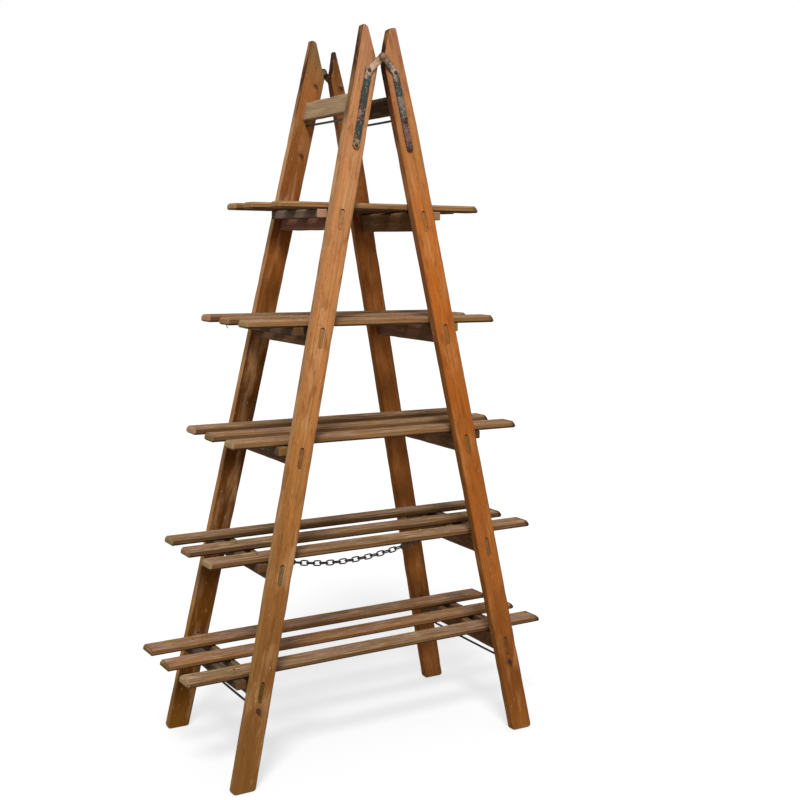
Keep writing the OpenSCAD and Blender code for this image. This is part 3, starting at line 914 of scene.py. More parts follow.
# Lowest rung first; the right top rung's near-black colour is painted shade, the face of it that shows lying in
# shadow inside the ladder
RUNG_STAINS_AND_SHADE = {
    LEFT: ["#6b5038", "#70533a", "#6c4c36", "#75543c", "#8a5a48", "#a68c6c"],
    RIGHT: ["#6a4a2e", "#6a4a30", "#6b4a32", "#6e4c38", "#6b4a28", "#3a281a"],
}
TENON_STAINS = {
    LEFT: ["#5c451f", "#6e5a3a", "#80522b", "#a5703f", "#b98150", "#b98150"],
    RIGHT: ["#75451a", "#84562a", "#8a5a2c", "#9a6630", "#a9703a", "#a9703a"],
}


def rung(side, k, seed):
    """One rung: worn bar between the legs, through tenons at both ends."""
    r = settings().rungs
    name = f"{SIDE_NAME[side]}_rung_{k}"
    bar, tenon = section(r.thick, r.height, RUNG_ROUND, *BAR_CUTS), rounded_slot(r.tenon, r.height)
    rows = [(tenon, "tenon", -1.0), (tenon, "bar", -1.0)]
    rows += [(bar, "bar", share) for share in np.linspace(-1, 1, RUNG_STEPS)]
    rows += [(tenon, "bar", 1.0), (tenon, "tenon", 1.0)]
    rings = []
    for shape, zone, share in rows:
        ring = []
        for x, z, corner in shape:
            s = rung_s(k) + z
            y = share * (inner_y(s) if zone == "bar" else outer_y(s) - TENON_SHORT)
            worn = 0.0
            # The upper edges, which boots trod on, are worn most
            if corner and zone == "bar" and abs(share) < 0.99:
                hollow = 0.85 * max(0.0, roughly((x, y, z), RUNG_HOLLOW, seed))
                worn = 0.15 + hollow + 0.25 * max(0.0, z / r.height)
            pull = 1 - worn * r.edge_wear / (r.thick / 2)
            centre_z = z - math.copysign(min(abs(z), r.thick / 2), z)
            ring.append((x * pull, y, s - z + centre_z + (z - centre_z) * pull))
        rings.append(ring[::-1])
    place = frame_place(side)
    mesh = placed(skin(name, rings), place)
    own = place @ Matrix.Translation((0, 0, rung_s(k))) @ RUNG_AXES.inverted()
    mark_wood(mesh, own, seed, (r.thick / 2, r.height / 2))
    stains = [(*linear(table[side][k - 1]), 1) for table in (RUNG_STAINS_AND_SHADE, TENON_STAINS)]
    tenon_from = inner_y(rung_s(k)) + settings().frames.leg_thick / 2
    ends = [sum(mesh.vertices[i].co.y for i in face.vertices) / len(face.vertices) for face in mesh.polygons]
    mark(mesh, "stain", [stains[abs(y) > tenon_from] for y in ends], "FACE")
    piece = new_piece(f"worn_{name}", smooth(mesh), ladder(side))
    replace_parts(coat(piece, "worn_ash"), name)


class PLANTLADDER_OT_rungs(bpy.types.Operator):
    """Make the six rungs of each frame"""

    bl_idname = "plantladder.rungs"
    bl_label = "Rungs"

    def execute(self, context):
        for side in (LEFT, RIGHT):
            for k in range(1, RUNGS + 1):
                rung(side, k, RUNG_SEEDS[side] + k)
        return {"FINISHED"}


# ---- boards ----

BOARD_ROWS = 8
EDGE_ROWS = 4
# Share of a round edge's radius that is planed off, which leaves a bevel
BEVEL_FLAT = 0.2
SLANT_FULL = 6 * MM
SLANT_GONE = 40 * MM


def worn_board():
    """Tree of one worn board along x: bevelled edges, knocked corners, ends that lean back and a slight warp."""
    net = Shape(
        "Worn board", size=(1.0, 0.06, 0.017), step=0.014, edge_bevel=0.0024, wear=0.0015, corner_wear=0.003,
        first_slant=0.003, last_slant=0.009, warp=0.0015, seed=0.0,
    )
    size, bevel, seed = (net.given[label] for label in ("Size", "Edge bevel", "Seed"))
    cells = net.calc("CEIL", net.calc("DIVIDE", net.split(size)["X"], net.given["Step"]))
    rows = {"Vertices X": net.calc("ADD", cells, 1.0), "Vertices Y": BOARD_ROWS, "Vertices Z": EDGE_ROWS}
    block = net.add("GeometryNodeMeshCube", {"Size": size, **rows})["Mesh"]
    place = net.add("GeometryNodeInputPosition")[0]
    half = net.vector("MULTIPLY", size, (0.5, 0.5, 0.5))
    cell = net.vector("DIVIDE", size, net.joined(X=cells, Y=BOARD_ROWS - 1.0, Z=EDGE_ROWS - 1.0))
    core = net.vector("SUBTRACT", half, net.joined(X=bevel, Y=bevel, Z=bevel))
    # Rows next to an edge move out to where the rounding starts
    stretch = net.vector("DIVIDE", core, net.vector("SUBTRACT", half, cell))
    outside = net.vector("DIVIDE", net.vector("ABSOLUTE", place), half)
    outside = net.vector("FLOOR", net.vector("ADD", outside, (0.001, 0.001, 0.001)))
    factor = net.vector("MULTIPLY_ADD", outside, net.vector("SUBTRACT", (1, 1, 1), stretch), stretch)
    spread = net.vector("MULTIPLY", place, factor)
    inside = net.vector("MAXIMUM", spread, net.vector("MULTIPLY", core, (-1, -1, -1)))
    inside = net.vector("MINIMUM", inside, core)
    outward = net.vector("NORMALIZE", net.vector("SUBTRACT", spread, inside))
    # A point lies on one outer side of the block, on two at an edge and on three at a corner
    sides = net.add("ShaderNodeVectorMath", {0: outside, 1: (1, 1, 1)}, operation="DOT_PRODUCT")["Value"]
    wander = net.ranged(net.noise(place, seed, scale=16.0, detail=4.0)["Fac"], 0.42, 0.72)
    bite = net.calc("MULTIPLY", wander, net.given["Wear"])
    bite = net.calc("MULTIPLY_ADD", bevel, BEVEL_FLAT, bite)
    bite = net.calc("MULTIPLY", bite, net.calc("GREATER_THAN", sides, 1.5))
    knock = net.calc("MULTIPLY_ADD", net.calc("GREATER_THAN", sides, 2.5), net.given["Corner wear"], bite)
    spot = net.vector("ADD", inside, net.scaled(outward, net.calc("SUBTRACT", bevel, knock)))
    # Near its ends the board's upper part leans back toward the middle
    halves, along = net.split(half), net.split(place)["X"]
    from_end = net.calc("SUBTRACT", halves["X"], net.calc("ABSOLUTE", along))
    fade = net.ranged(from_end, SLANT_FULL, SLANT_GONE, 1.0, 0.0)
    upward = net.calc("DIVIDE", net.split(spot)["Z"], halves["Z"])
    on_last = net.calc("GREATER_THAN", along, 0.0)
    slant = net.ranged(on_last, to_low=net.given["First slant"], to_high=net.given["Last slant"])
    lean = net.calc("MULTIPLY", net.ranged(upward, -0.55, 1.0, 0.0, slant), fade)
    lean = net.calc("MULTIPLY", lean, net.calc("MULTIPLY", net.calc("SIGN", along), -1.0))
    spot = net.vector("ADD", spot, net.joined(X=lean))
    sway = net.noise(net.joined(X=along), seed, scale=1.4, detail=1.0)["Color"]
    sway = net.vector("MULTIPLY", net.vector("SUBTRACT", sway, (0.5, 0.5, 0.5)), (0, 2, 2))
    spot = net.vector("ADD", spot, net.scaled(sway, net.given["Warp"]))
    return net.finish(net.add("GeometryNodeSetPosition", {"Geometry": block, "Position": spot})[0])


END_STAIN = 11 * MM
END_FADE = 3 * MM
SLAT_SEED, CLEAT_SEED = 40, 70


def board(name, node, spans, place, finish, seed, looks, ends, bevel, slants):
    """One worn board along x, put in its place; finish holds its shelf, its material and its slot, looks how dark,
    how warm and how much darkened it is along it and at its right end, the cleats' darkening being painted shade, and
    ends the colours of its two sawn ends."""
    shelf, material, slot = finish
    s = settings().shelves
    mesh = run_tree(
        name, worn_board, material, size=spans, step=s.step, edge_bevel=bevel, wear=s.wear,
        corner_wear=s.corner_wear, first_slant=slants[0], last_slant=slants[1], warp=s.warp, seed=float(seed),
    )
    ways, local = mark_wood(placed(mesh, place), place, seed, (spans.y / 2, spans.z / 2))
    tone, warm, darkening, end_darkening = looks
    lean = np.clip(local[:, 2] / spans.z + 0.5, 0, 1) * slants[1]
    at_end = np.clip((local[:, 0] + lean - spans.x / 2 + END_STAIN) / END_FADE, 0, 1)
    mark(mesh, "tone", np.full(len(local), tone))
    mark(mesh, "warm", np.full(len(local), warm))
    mark(mesh, "darkening", np.maximum(darkening, end_darkening * at_end))
    ends = [(*linear(colour), 1) for colour in ends]
    mark(mesh, "stain", [ends[x > 0] for x in ways[:, 0]], "FACE")
    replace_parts(coat(new_piece(name, smooth(mesh, 30), f"shelf_{shelf}"), material), node)


# How far each shelf hangs askew, lowest shelf first
SHELF_TURN_DEG = [1.5, 1.2, 0, 0, 0]
# How far each slat reaches to the left and to the right, far slat first
SLAT_LEFT_MM = [[554, 555, 551], [489, 493, 487], [414, 416, 415], [369, 370, 373], [298, 302, 280]]
SLAT_RIGHT_MM = [[534, 548, 542], [488, 496, 496], [440, 443, 444], [356, 364, 365], [312, 316, 313]]
SLAT_WIDTH_MM = [[64, 58, 62], [54, 56, 58], [62, 56, 58], [59, 62, 60], [58, 60, 60]]
SLAT_THICK_MM = [17.5, 18.5, 19, 19.5, 18]
# How far each slat's sides are darkened, partly their own colour and partly painted shade from the shelves above, how
# warm it stayed, and its left end's colour, far slat first
SLAT_TONES = [[0.7, 0.7, 0.8], [1, 0.95, 0.75], [0.85, 0.75, 0.4], [0.8, 0.9, 0.15], [0.5, 0.2, 0]]
SLAT_WARM = [[0.5, 0.7, 0.1], [0.05, 0.1, 0.15], [0.15, 0.2, 0.3], [0.2, 0.3, 0.35], [0.4, 0.4, 0.6]]
SLAT_LEFT_ENDS = [
    ["#5c5230", "#554c22", "#94805c"], ["#80704f", "#866450", "#94825f"], ["#a8866c", "#75623e", "#988462"],
    ["#ab8062", "#96704c", "#967c58"], ["#9c7c58", "#8c6c4a", "#8c6844"],
]
# Colour of the slats' right ends on each shelf, and how much darker the slats are made toward them
SLAT_RIGHT_ENDS = ["#1c130e", "#0e0906", "#1a110b", "#30231a", "#4a3626"]
SLAT_END_DARKENING = [0.9, 1.0, 0.9, 0.7, 0.5]
# The cleats' tones and darkening are painted shade: the slats over them keep them in shadow.
CLEAT_TONES = {"left": [0.3, 0.3, 0.2, 0.3, 0.0], "right": [0.4, 0.9, 0.6, 0.45, 0.3]}
CLEAT_WARM = {"left": [0.4, 0.2, 0.2, 0.3, 0.0], "right": [0.9, 0.0, 0.35, 0.2, 0.4]}
CLEAT_PAINTED_SHADE = {"left": [0.65, 0.5, 0.2, 0.35, 0.0], "right": [0.1, 0.4, 0.15, 0.1, 0.05]}
CLEAT_NEAR_ENDS = {
    "left": ["#6a4a2a", "#6a4a2c", "#8a6232", "#5f4526", "#c4967a"],
    "right": ["#4a2c1c", "#4a3020", "#5a3a26", "#8c7c58", "#a8855c"],
}
CLEAT_FAR_END = "#4a3524"


def shelf_turn(k):
    return Matrix.Rotation(math.radians(SHELF_TURN_DEG[k - 1]), 4, "Z")


def slat_place(k, j):
    """Size of a slat, and its place on its shelf's cleats."""
    low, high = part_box(f"shelf_{k}_slat_{j}")
    middle, turn = (low + high) / 2, shelf_turn(k)
    left, right = SLAT_LEFT_MM[k - 1][j - 1] * MM + middle.x, SLAT_RIGHT_MM[k - 1][j - 1] * MM - middle.x
    spans = Vector((left + right, SLAT_WIDTH_MM[k - 1][j - 1] * MM, SLAT_THICK_MM[k - 1] * MM))
    centre = middle + turn @ Vector(((right - left) / 2, 0, 0))
    centre.z = low.z + spans.z / 2
    return spans, Matrix.Translation(centre) @ turn


def cleat_place(k, side):
    """Size of a cleat, and its place, with its length along x."""
    low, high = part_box(f"shelf_{k}_{side}_cleat")
    wide, askew = settings().shelves.cleat_width, math.radians(SHELF_TURN_DEG[k - 1])
    spans = Vector(((high.y - low.y - wide * math.sin(askew)) / math.cos(askew), wide, high.z - low.z))
    return spans, Matrix.Translation((low + high) / 2) @ shelf_turn(k) @ Matrix.Rotation(math.pi / 2, 4, "Z")


class PLANTLADDER_OT_shelves(bpy.types.Operator):
    """Make the slats and cleats of the five shelves"""

    bl_idname = "plantladder.shelves"
    bl_label = "Shelves"

    def execute(self, context):
        s = settings().shelves
        slants = (s.left_slant, s.right_slant)
        for k in range(1, SHELVES + 1):
            finish = (k, "weathered_slats", "slat_oak")
            for j in range(1, SLATS + 1):
                node = f"shelf_{k}_slat_{j}"
                spans, place = slat_place(k, j)
                looks = (SLAT_TONES[k - 1][j - 1], SLAT_WARM[k - 1][j - 1], 0.0, SLAT_END_DARKENING[k - 1])
                ends = (SLAT_LEFT_ENDS[k - 1][j - 1], SLAT_RIGHT_ENDS[k - 1])
                seed = SLAT_SEED + 3 * k + j
                board(f"weathered_{node}", node, spans, place, finish, seed, looks, ends, s.edge_round, slants)
            finish = (k, "grey_cleats", "cleat_oak")
            for n, side in enumerate(("left", "right")):
                node = f"shelf_{k}_{side}_cleat"
                spans, place = cleat_place(k, side)
                looks = [table[side][k - 1] for table in (CLEAT_TONES, CLEAT_WARM, CLEAT_PAINTED_SHADE, CLEAT_PAINTED_SHADE)]
                ends = (CLEAT_NEAR_ENDS[side][k - 1], CLEAT_FAR_END)
                seed = CLEAT_SEED + 2 * k + n
                board(f"grey_{node}", node, spans, place, finish, seed, looks, ends, s.cleat_round, (0.0, 0.0))
        return {"FINISHED"}


# ---- fixings ----

WASHER_THICK = 1.5 * MM
NUT_THICK = 5 * MM
BOLT_NUT = 9 * MM
BOLT = 6 * MM
BOLT_END = 3 * MM
BOLT_HEAD_HEIGHT = 4 * MM
BOLT_HEAD_TILT = 0.03
BEND_PROUD = 1 * MM
ROD_END_OPEN = 0.5 * MM
ROD_STEPS = 40
ROD_SAG = 1.2 * MM
# Share of a rod's half length within which it sags
ROD_LOOSE = 0.85
HEAD_SEED = 5
# Width across a hexagon's corners for each unit across its flats
HEXAGON = 1.1547


def stored_facing(net):
    return net.add("GeometryNodeInputNamedAttribute", {"Name": "facing"}, data_type="FLOAT_VECTOR")[0]


def domed_heads():
    """Tree of domed heads, one on each point, turned to face along the point's facing."""
    net = Shape("Domed heads", diameter=0.007, height=0.0015, tilt=0.1, seed=0)
    ball = net.add("GeometryNodeMeshUVSphere", {"Segments": 18, "Rings": 10, "Radius": 1.0})["Mesh"]
    above = net.vector("MAXIMUM", net.add("GeometryNodeInputPosition")[0], (-9, -9, 0))
    dome = net.add("GeometryNodeSetPosition", {"Geometry": ball, "Position": above})[0]
    radius = net.calc("MULTIPLY", net.given["Diameter"], 0.5)
    scale = net.joined(X=radius, Y=radius, Z=net.given["Height"])
    dome = net.add("GeometryNodeTransform", {"Geometry": dome, "Scale": scale})[0]
    spread = {0: (-1, -1, -1), 1: (1, 1, 1), "Seed": net.given["Seed"]}
    spread = net.add("FunctionNodeRandomValue", spread, data_type="FLOAT_VECTOR")[0]
    facing = net.vector("ADD", stored_facing(net), net.scaled(spread, net.given["Tilt"]))
    return net.on_points(dome, facing)


def washers_and_nuts():
    """Tree of washers with six-sided nuts on them, one set on each point."""
    net = Shape(
        "Washers and nuts", washer=0.018, washer_thickness=0.0015, nut=0.011, nut_thickness=0.005, bolt=0.006,
        bolt_end=0.003,
    )
    # Each drum: its width and height, how many corners it has, how much wider they are, and what it stands on
    stack = [
        ("Washer", "Washer thickness", 28, 1.0, []),
        ("Nut", "Nut thickness", 6, HEXAGON, ["Washer thickness"]),
        ("Bolt", "Bolt end", 16, 1.0, ["Washer thickness", "Nut thickness"]),
    ]
    joined = net.tree.nodes.new("GeometryNodeJoinGeometry")
    for wide, tall, corners, grow, below in stack:
        radius = net.calc("MULTIPLY", net.given[wide], grow / 2)
        drum = {"Vertices": corners, "Radius": radius, "Depth": net.given[tall]}
        drum = net.add("GeometryNodeMeshCylinder", drum)["Mesh"]
        lift = net.calc("MULTIPLY", net.given[tall], 0.5)
        for label in below:
            lift = net.calc("ADD", lift, net.given[label])
        drum = net.add("GeometryNodeTransform", {"Geometry": drum, "Translation": net.joined(Z=lift)})[0]
        net.tree.links.new(drum, joined.inputs[0])
    return net.on_points(joined.outputs[0], stored_facing(net))


def round_bar():
    """Tree of a round bar that follows the given edges."""
    net = Shape("Round bar", diameter=0.006)
    path = net.add("GeometryNodeMeshToCurve", {"Mesh": net.given["Geometry"]})[0]
    radius = net.calc("MULTIPLY", net.given["Diameter"], 0.5)
    ring = net.add("GeometryNodeCurvePrimitiveCircle", {"Resolution": 14, "Radius": radius})[0]
    bar = {"Curve": path, "Profile Curve": ring, "Fill Caps": True}
    return net.finish(net.add("GeometryNodeCurveToMesh", bar)[0])


def facing_points(name, spots):
    """Loose points, each with the direction that it faces, from (place, facing) pairs."""
    mesh = new_mesh(name, [tuple(place) for place, _ in spots])
    mark(mesh, "facing", [tuple(way) for _, way in spots])
    return mesh


def joined_mesh(name, meshes, tints=()):
    """One mesh of several; tints hold the base colour of each."""
    corners, faces, stains = [], [], []
    for n, mesh in enumerate(meshes):
        start = len(corners)
        corners += [tuple(v.co) for v in mesh.vertices]
        faces += [tuple(start + i for i in face.vertices) for face in mesh.polygons]
        stains += [(*tints[n], 1)] * len(mesh.polygons) if tints else []
    whole = new_mesh(name, corners, [], faces)
    if tints:
        mark(whole, "stain", stains, "FACE")
    return whole


def heads(name, spots, diameter, height, tilt, seed):
    """Rusted heads on the spots, each a (place, facing) pair."""
    points = facing_points(name, spots)
    size = {"diameter": diameter, "height": height}
    return run_tree(name, domed_heads, "rusted_steel", points, **size, tilt=tilt, seed=seed)


def nuts(name, spots, nut, bolt, end):
    """Rusted nuts on washers on the spots, each a (place, facing) pair."""
    return run_tree(
        name, washers_and_nuts, "rusted_steel", facing_points(name, spots), washer=settings().iron.washer,
        washer_thickness=WASHER_THICK, nut=nut, nut_thickness=NUT_THICK, bolt=bolt, bolt_end=end,
    )


def bar_along(name, corners, edges, diameter):
    """A rusted round bar through the corners."""
    return run_tree(name, round_bar, "rusted_steel", new_mesh(name, corners, edges), diameter=diameter)


def strap_bolts(side):
    """Domed bolt heads on the straps and nuts on the legs' inner faces."""
    iron, f, colours = settings().iron, settings().frames, settings().colours
    outside, inside = [], []
    top = f.leg_length - iron.strap_drop
    for depth in (NEAR, FAR):
        place = leg_place(side, depth)
        turn = place.to_3x3()
        for s, proud in ((top, BEND_PROUD), (top - iron.strap_run, 0)):
            head = Vector((iron.strap_shift, -iron.strap_thick - proud, s))
            outside.append((place @ head, turn @ Vector((0, -1, 0))))
            inside.append((place @ Vector((iron.strap_shift, f.leg_thick, s)), turn @ Vector((0, 1, 0))))
    name = f"{SIDE_NAME[side]}_strap_bolts"
    parts = [
        heads(name, outside, iron.bolt_head, BOLT_HEAD_HEIGHT, BOLT_HEAD_TILT, HEAD_SEED),
        nuts(name, inside, BOLT_NUT, BOLT, BOLT_END),
    ]
    mesh = smooth(joined_mesh(name, parts, (colours.rust, colours.nut)))
    piece = new_piece(f"rusted_{name}", mesh, ladder(side))
    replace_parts(coat(piece, "rusted_steel"), name)


def tie_rods(side):
    """Tie rods with a washer and a nut on each end; each rod bows a little where it was stood on."""
    iron, colours = settings().iron, settings().colours
    place = frame_place(side)
    name = f"{SIDE_NAME[side]}_tie_rods"
    corners, edges, ends = [], [], []
    for i, (a, s) in enumerate(rod_places()):
        seat = iron.strap_thick if i == 1 else 0
        half = outer_y(s) + seat + iron.rod_end
        edges += [(len(corners) + n, len(corners) + n + 1) for n in range(ROD_STEPS)]
        for step in range(ROD_STEPS + 1):
            share = 2 * step / ROD_STEPS - 1
            sag = ROD_SAG * max(0.0, 1 - (share / ROD_LOOSE) ** 2)
            corners.append(tuple(place @ Vector((a, share * half, s - sag))))
        seated = Vector((a, -seat, s / math.cos(settings().frames.taper)))
        legs = [leg_place(side, depth) for depth in (NEAR, FAR)]
        ends.append([(out @ seated, out.to_3x3() @ Vector((0, -1, 0))) for out in legs])
    parts = [bar_along(name, corners, edges, iron.rod)]
    parts += [nuts(name, spots, iron.nut, iron.rod, ROD_END_OPEN) for spots in ends]
    mesh = smooth(joined_mesh(name, parts, (colours.iron, colours.rust, colours.painted_nut)))
    piece = new_piece(f"iron_{name}", mesh, ladder(side))
    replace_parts(coat(piece, "rusted_steel"), name)


class PLANTLADDER_OT_bolts(bpy.types.Operator):
    """Make the strap bolts and the tie rods with their nuts"""

    bl_idname = "plantladder.bolts"
    bl_label = "Bolts and tie rods"

    def execute(self, context):
        for side in (LEFT, RIGHT):
            strap_bolts(side)
            tie_rods(side)
        return {"FINISHED"}


# ---- hinge ----

STRAP_BEND = 6 * MM
STRAP_CLEAN = 6.5 * MM
STRAP_RIM = 3 * MM
EYE_FROM = 215 * MM
# How much darker the far straps' eyes are made
FAR_EYE_DARKENING = 0.85
STRAP_VOXEL, STRAP_WAVE = 1.1 * MM, 0.22 * MM
PIN_VOXEL, PIN_WAVE = 0.6 * MM, 0.08 * MM
STRAP_SEED, PIN_SEED = 90, 95
# Sizes of the hammer's marks
BLOW, SMALL_BLOW = 9 * MM, 3.5 * MM


def forged(node, voxel, wave, seed):
    """A copy of a node's mesh with softened edges and a hammered surface."""
    host = linked(node, frame["nodes"][node].data.copy())
    host.modifiers.new("Weld", "WELD").merge_threshold = 0.01 * MM
    remesh = host.modifiers.new("Remesh", "REMESH")
    remesh.mode = "VOXEL"
    remesh.voxel_size = voxel
    host.modifiers.new("Soften", "SMOOTH").iterations = 3
    made = finished(host)
    for vertex in made.vertices:
        bump = roughly(vertex.co, BLOW, seed) + 0.5 * roughly(vertex.co, SMALL_BLOW, seed + 1)
        vertex.co += vertex.normal * bump * wave
    made.shade_smooth()
    return made


def off_line(spots, start, end):
    """Distance of each point from the line between two points."""
    run = end - start
    share = np.clip((spots - start) @ run / (run @ run), 0, 1)
    return np.linalg.norm(spots - start - share[:, None] * run, axis=1)


def mark_strap(mesh, side, depth):
    """Attributes of a strap: how far along it each point is, from the bottom bolt up and then round the bend to the
    eye, how near to its edges, which carry painted shade, and how much darker it is made, which the far straps' eyes
    are."""
    f, iron = settings().frames, settings().iron
    spots = own_points(mesh, leg_place(side, depth))
    top = f.leg_length - iron.strap_drop
    bend = np.where(spots[:, 2] > top - STRAP_BEND, np.maximum(spots[:, 0] - iron.strap_shift, 0), 0)
    reach = spots[:, 2] - (top - iron.strap_run) + bend
    eye = leg_place(side, depth).inverted() @ Vector((0, depth * outer_y(f.leg_length), PIVOT_HEIGHT))
    flat, corner = spots[:, [0, 2]], np.array((iron.strap_shift, top))
    up = off_line(flat, corner - (0, iron.strap_run), corner)
    over = off_line(flat, corner, np.array((eye.x, eye.z)))
    mark(mesh, "reach", reach)
    mark(mesh, "edge", np.clip((np.minimum(up, over) - STRAP_CLEAN) / STRAP_RIM, 0, 1))
    mark(mesh, "tone", (reach > EYE_FROM) * (FAR_EYE_DARKENING if depth == FAR else 0.0))


class PLANTLADDER_OT_hinge(bpy.types.Operator):
    """Make the forged hinge straps and the pivot pins"""

    bl_idname = "plantladder.hinge"
    bl_label = "Hinge"

    def execute(self, context):
        for n, (side, depth) in enumerate(LEG_ORDER):
            node = f"{DEPTH_NAME[depth]}_{SIDE_NAME[side]}_strap"
            mesh = forged(node, STRAP_VOXEL, STRAP_WAVE, STRAP_SEED + n)
            mark_strap(mesh, side, depth)
            piece = new_piece(f"forged_{node}", mesh, ladder(side))
            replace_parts(coat(piece, f"{SIDE_NAME[side]}_strap_paint"), node)
        for n, depth in enumerate((NEAR, FAR)):
            node = f"{DEPTH_NAME[depth]}_pivot_pin"
            mesh = stain(forged(node, PIN_VOXEL, PIN_WAVE, PIN_SEED + n), settings().colours.pin)
            piece = new_piece(f"riveted_{node}", mesh, "pivot_pins")
            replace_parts(coat(piece, "rusted_steel"), node)
        return {"FINISHED"}


# ---- nails ----

NAIL_SINK = 0.3 * MM
NAIL_HEIGHT = 1.4 * MM
NAIL_TILT = 0.12
NAIL_SEED = 60
BENT_NAIL_SHELF = 4
# Steps of the bent nail's point from inside the slat's left end, in millimetres
BENT_NAIL = [(11, 0, 3), (11, 0, -5), (14, -2, -9)]
BENT_NAIL_WIRE = 2.2 * MM


def bent_nail(k, j):
    """The point of a nail that came through under a slat's left end and was bent over."""
    spans, slat = slat_place(k, j)
    start = Vector((-spans.x / 2, 0, -spans.z / 2))
    corners = [slat @ (start + Vector(step) * MM) for step in BENT_NAIL]
    return bar_along("bent_nail", corners, [(0, 1), (1, 2)], BENT_NAIL_WIRE)


class PLANTLADDER_OT_nails(bpy.types.Operator):
    """Make the nail heads of the shelves"""

    bl_idname = "plantladder.nails"
    bl_label = "Nails"

    def execute(self, context):
        for k in range(1, SHELVES + 1):
            spots = []
            for j in range(1, SLATS + 1):
                spans, slat = slat_place(k, j)
                for side in ("left", "right"):
                    over = slat.inverted() @ cleat_place(k, side)[1].translation
                    spots.append((slat @ Vector((over.x, 0, spans.z / 2 - NAIL_SINK)), (0, 0, 1)))
            node = f"shelf_{k}_nails"
            parts = [heads(node, spots, settings().shelves.nail_head, NAIL_HEIGHT, NAIL_TILT, NAIL_SEED + k)]
            if k == BENT_NAIL_SHELF:
                parts.append(bent_nail(k, 2))
            mesh = stain(smooth(joined_mesh(node, parts)), settings().colours.rust)
            piece = new_piece(f"rusted_{node}", mesh, f"shelf_{k}")
            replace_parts(coat(piece, "rusted_steel"), node)
        return {"FINISHED"}


# ---- chain ----

LINK_PLAY = 0.6 * MM
# The chain's left half hangs this much lower than its right half higher
CHAIN_SKEW = 2 * MM
CHAIN_STEPS = 120


def chain():
    """Tree of links along a path: each link turned by a quarter from the one before."""
    net = Shape("Chain", wire=0.004, inside_length=0.0206, inside_width=0.008, links=29)
    wide = net.calc("ADD", net.given["Inside length"], net.given["Wire"])
    tall = net.calc("ADD", net.given["Inside width"], net.given["Wire"])
    loop = net.add("GeometryNodeCurvePrimitiveQuadrilateral", {"Width": wide, "Height": tall})[0]
    bend = {"Curve": loop, "Radius": net.calc("MULTIPLY", tall, 0.499), "Count": 6}
    loop = net.add("GeometryNodeFilletCurve", bend, mode="POLY")[0]
    wire = net.calc("MULTIPLY", net.given["Wire"], 0.5)
    ring = net.add("GeometryNodeCurvePrimitiveCircle", {"Resolution": 10, "Radius": wire})[0]
    link = net.add("GeometryNodeCurveToMesh", {"Curve": loop, "Profile Curve": ring})[0]
    path = net.add("GeometryNodeMeshToCurve", {"Mesh": net.given["Geometry"]})[0]
    points = net.add("GeometryNodeCurveToPoints", {"Curve": path, "Count": net.given["Links"]}, mode="COUNT")
    turned = {"Vector": points["Tangent"]}
    turned = net.add("FunctionNodeAlignRotationToVector", turned, axis="X", pivot_axis="Y")[0]
    odd = net.calc("MODULO", net.add("GeometryNodeInputIndex")[0], 2.0)
    roll = net.joined(X=net.calc("MULTIPLY", odd, math.pi / 2))
    links = {"Points": points["Points"], "Instance": link, "Rotation": turned}
    links = net.add("GeometryNodeInstanceOnPoints", links)[0]
    return net.finish(net.add("GeometryNodeRotateInstances", {"Instances": links, "Rotation": roll})[0])


class PLANTLADDER_OT_chain(bpy.types.Operator):
    """Make the chain that stops the frames from spreading, and dress its eyes"""

    bl_idname = "plantladder.chain"
    bl_label = "Chain"

    def execute(self, context):
        iron = settings().iron
        low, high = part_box("chain")
        pitch = iron.link_length - LINK_PLAY
        # The end links' middles stand half a link in from the ends
        half = (high.x - low.x) / 2 - iron.link_length / 2 - iron.wire
        level = sum(corner.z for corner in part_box("left_chain_eye")) / 2
        sag = level - low.z - (iron.link_gap / 2 + iron.wire)
        wide = half + pitch / 2
        corners = []
        for step in range(CHAIN_STEPS + 1):
            x = half * (2 * step / CHAIN_STEPS - 1)
            lopsided = CHAIN_SKEW * math.sin(math.pi * x / half)
            corners.append((x, 0, level + sag * ((x / wide) ** 2 - 1) + lopsided))
        line = new_mesh("chain", corners, [(i, i + 1) for i in range(CHAIN_STEPS)])
        mesh = run_tree(
            "chain", chain, "blackened_iron", line, wire=iron.wire, inside_length=iron.link_length,
            inside_width=iron.link_gap, links=iron.link_count,
        )
        piece = new_piece("iron_chain", smooth(mesh, 60), "left_ladder")
        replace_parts(coat(piece, "blackened_iron"), "chain")
        for side in ("left", "right"):
            eye = frame["nodes"][f"{side}_chain_eye"]
            eye.data.materials.clear()
            eye.data.materials.append(material_of("blackened_iron"))
        return {"FINISHED"}


# ---- stage ----

CAMERA_AT = Vector((-1530.4, -2900.9, 1354.6)) * MM
CAMERA_YAW = math.radians(30.21)
CAMERA_PITCH = math.radians(-7.25)
CAMERA_ROLL = math.radians(0.55)
CAMERA_LENS_MM = 54.1
SENSOR_MM = 36
CLIP_END = 200
SKY_LIGHT = 0.65
SUN_LIGHT = 2.7
SUN_WIDTH = math.radians(15)
SUN_TURN = Euler([math.radians(turn) for turn in (40, 0, -32)])
FLOOR_REACH = 60
FLOOR_DROP = -0.5 * MM
FLOOR_GLOW = 0.62
WHITE = (1, 1, 1, 1)


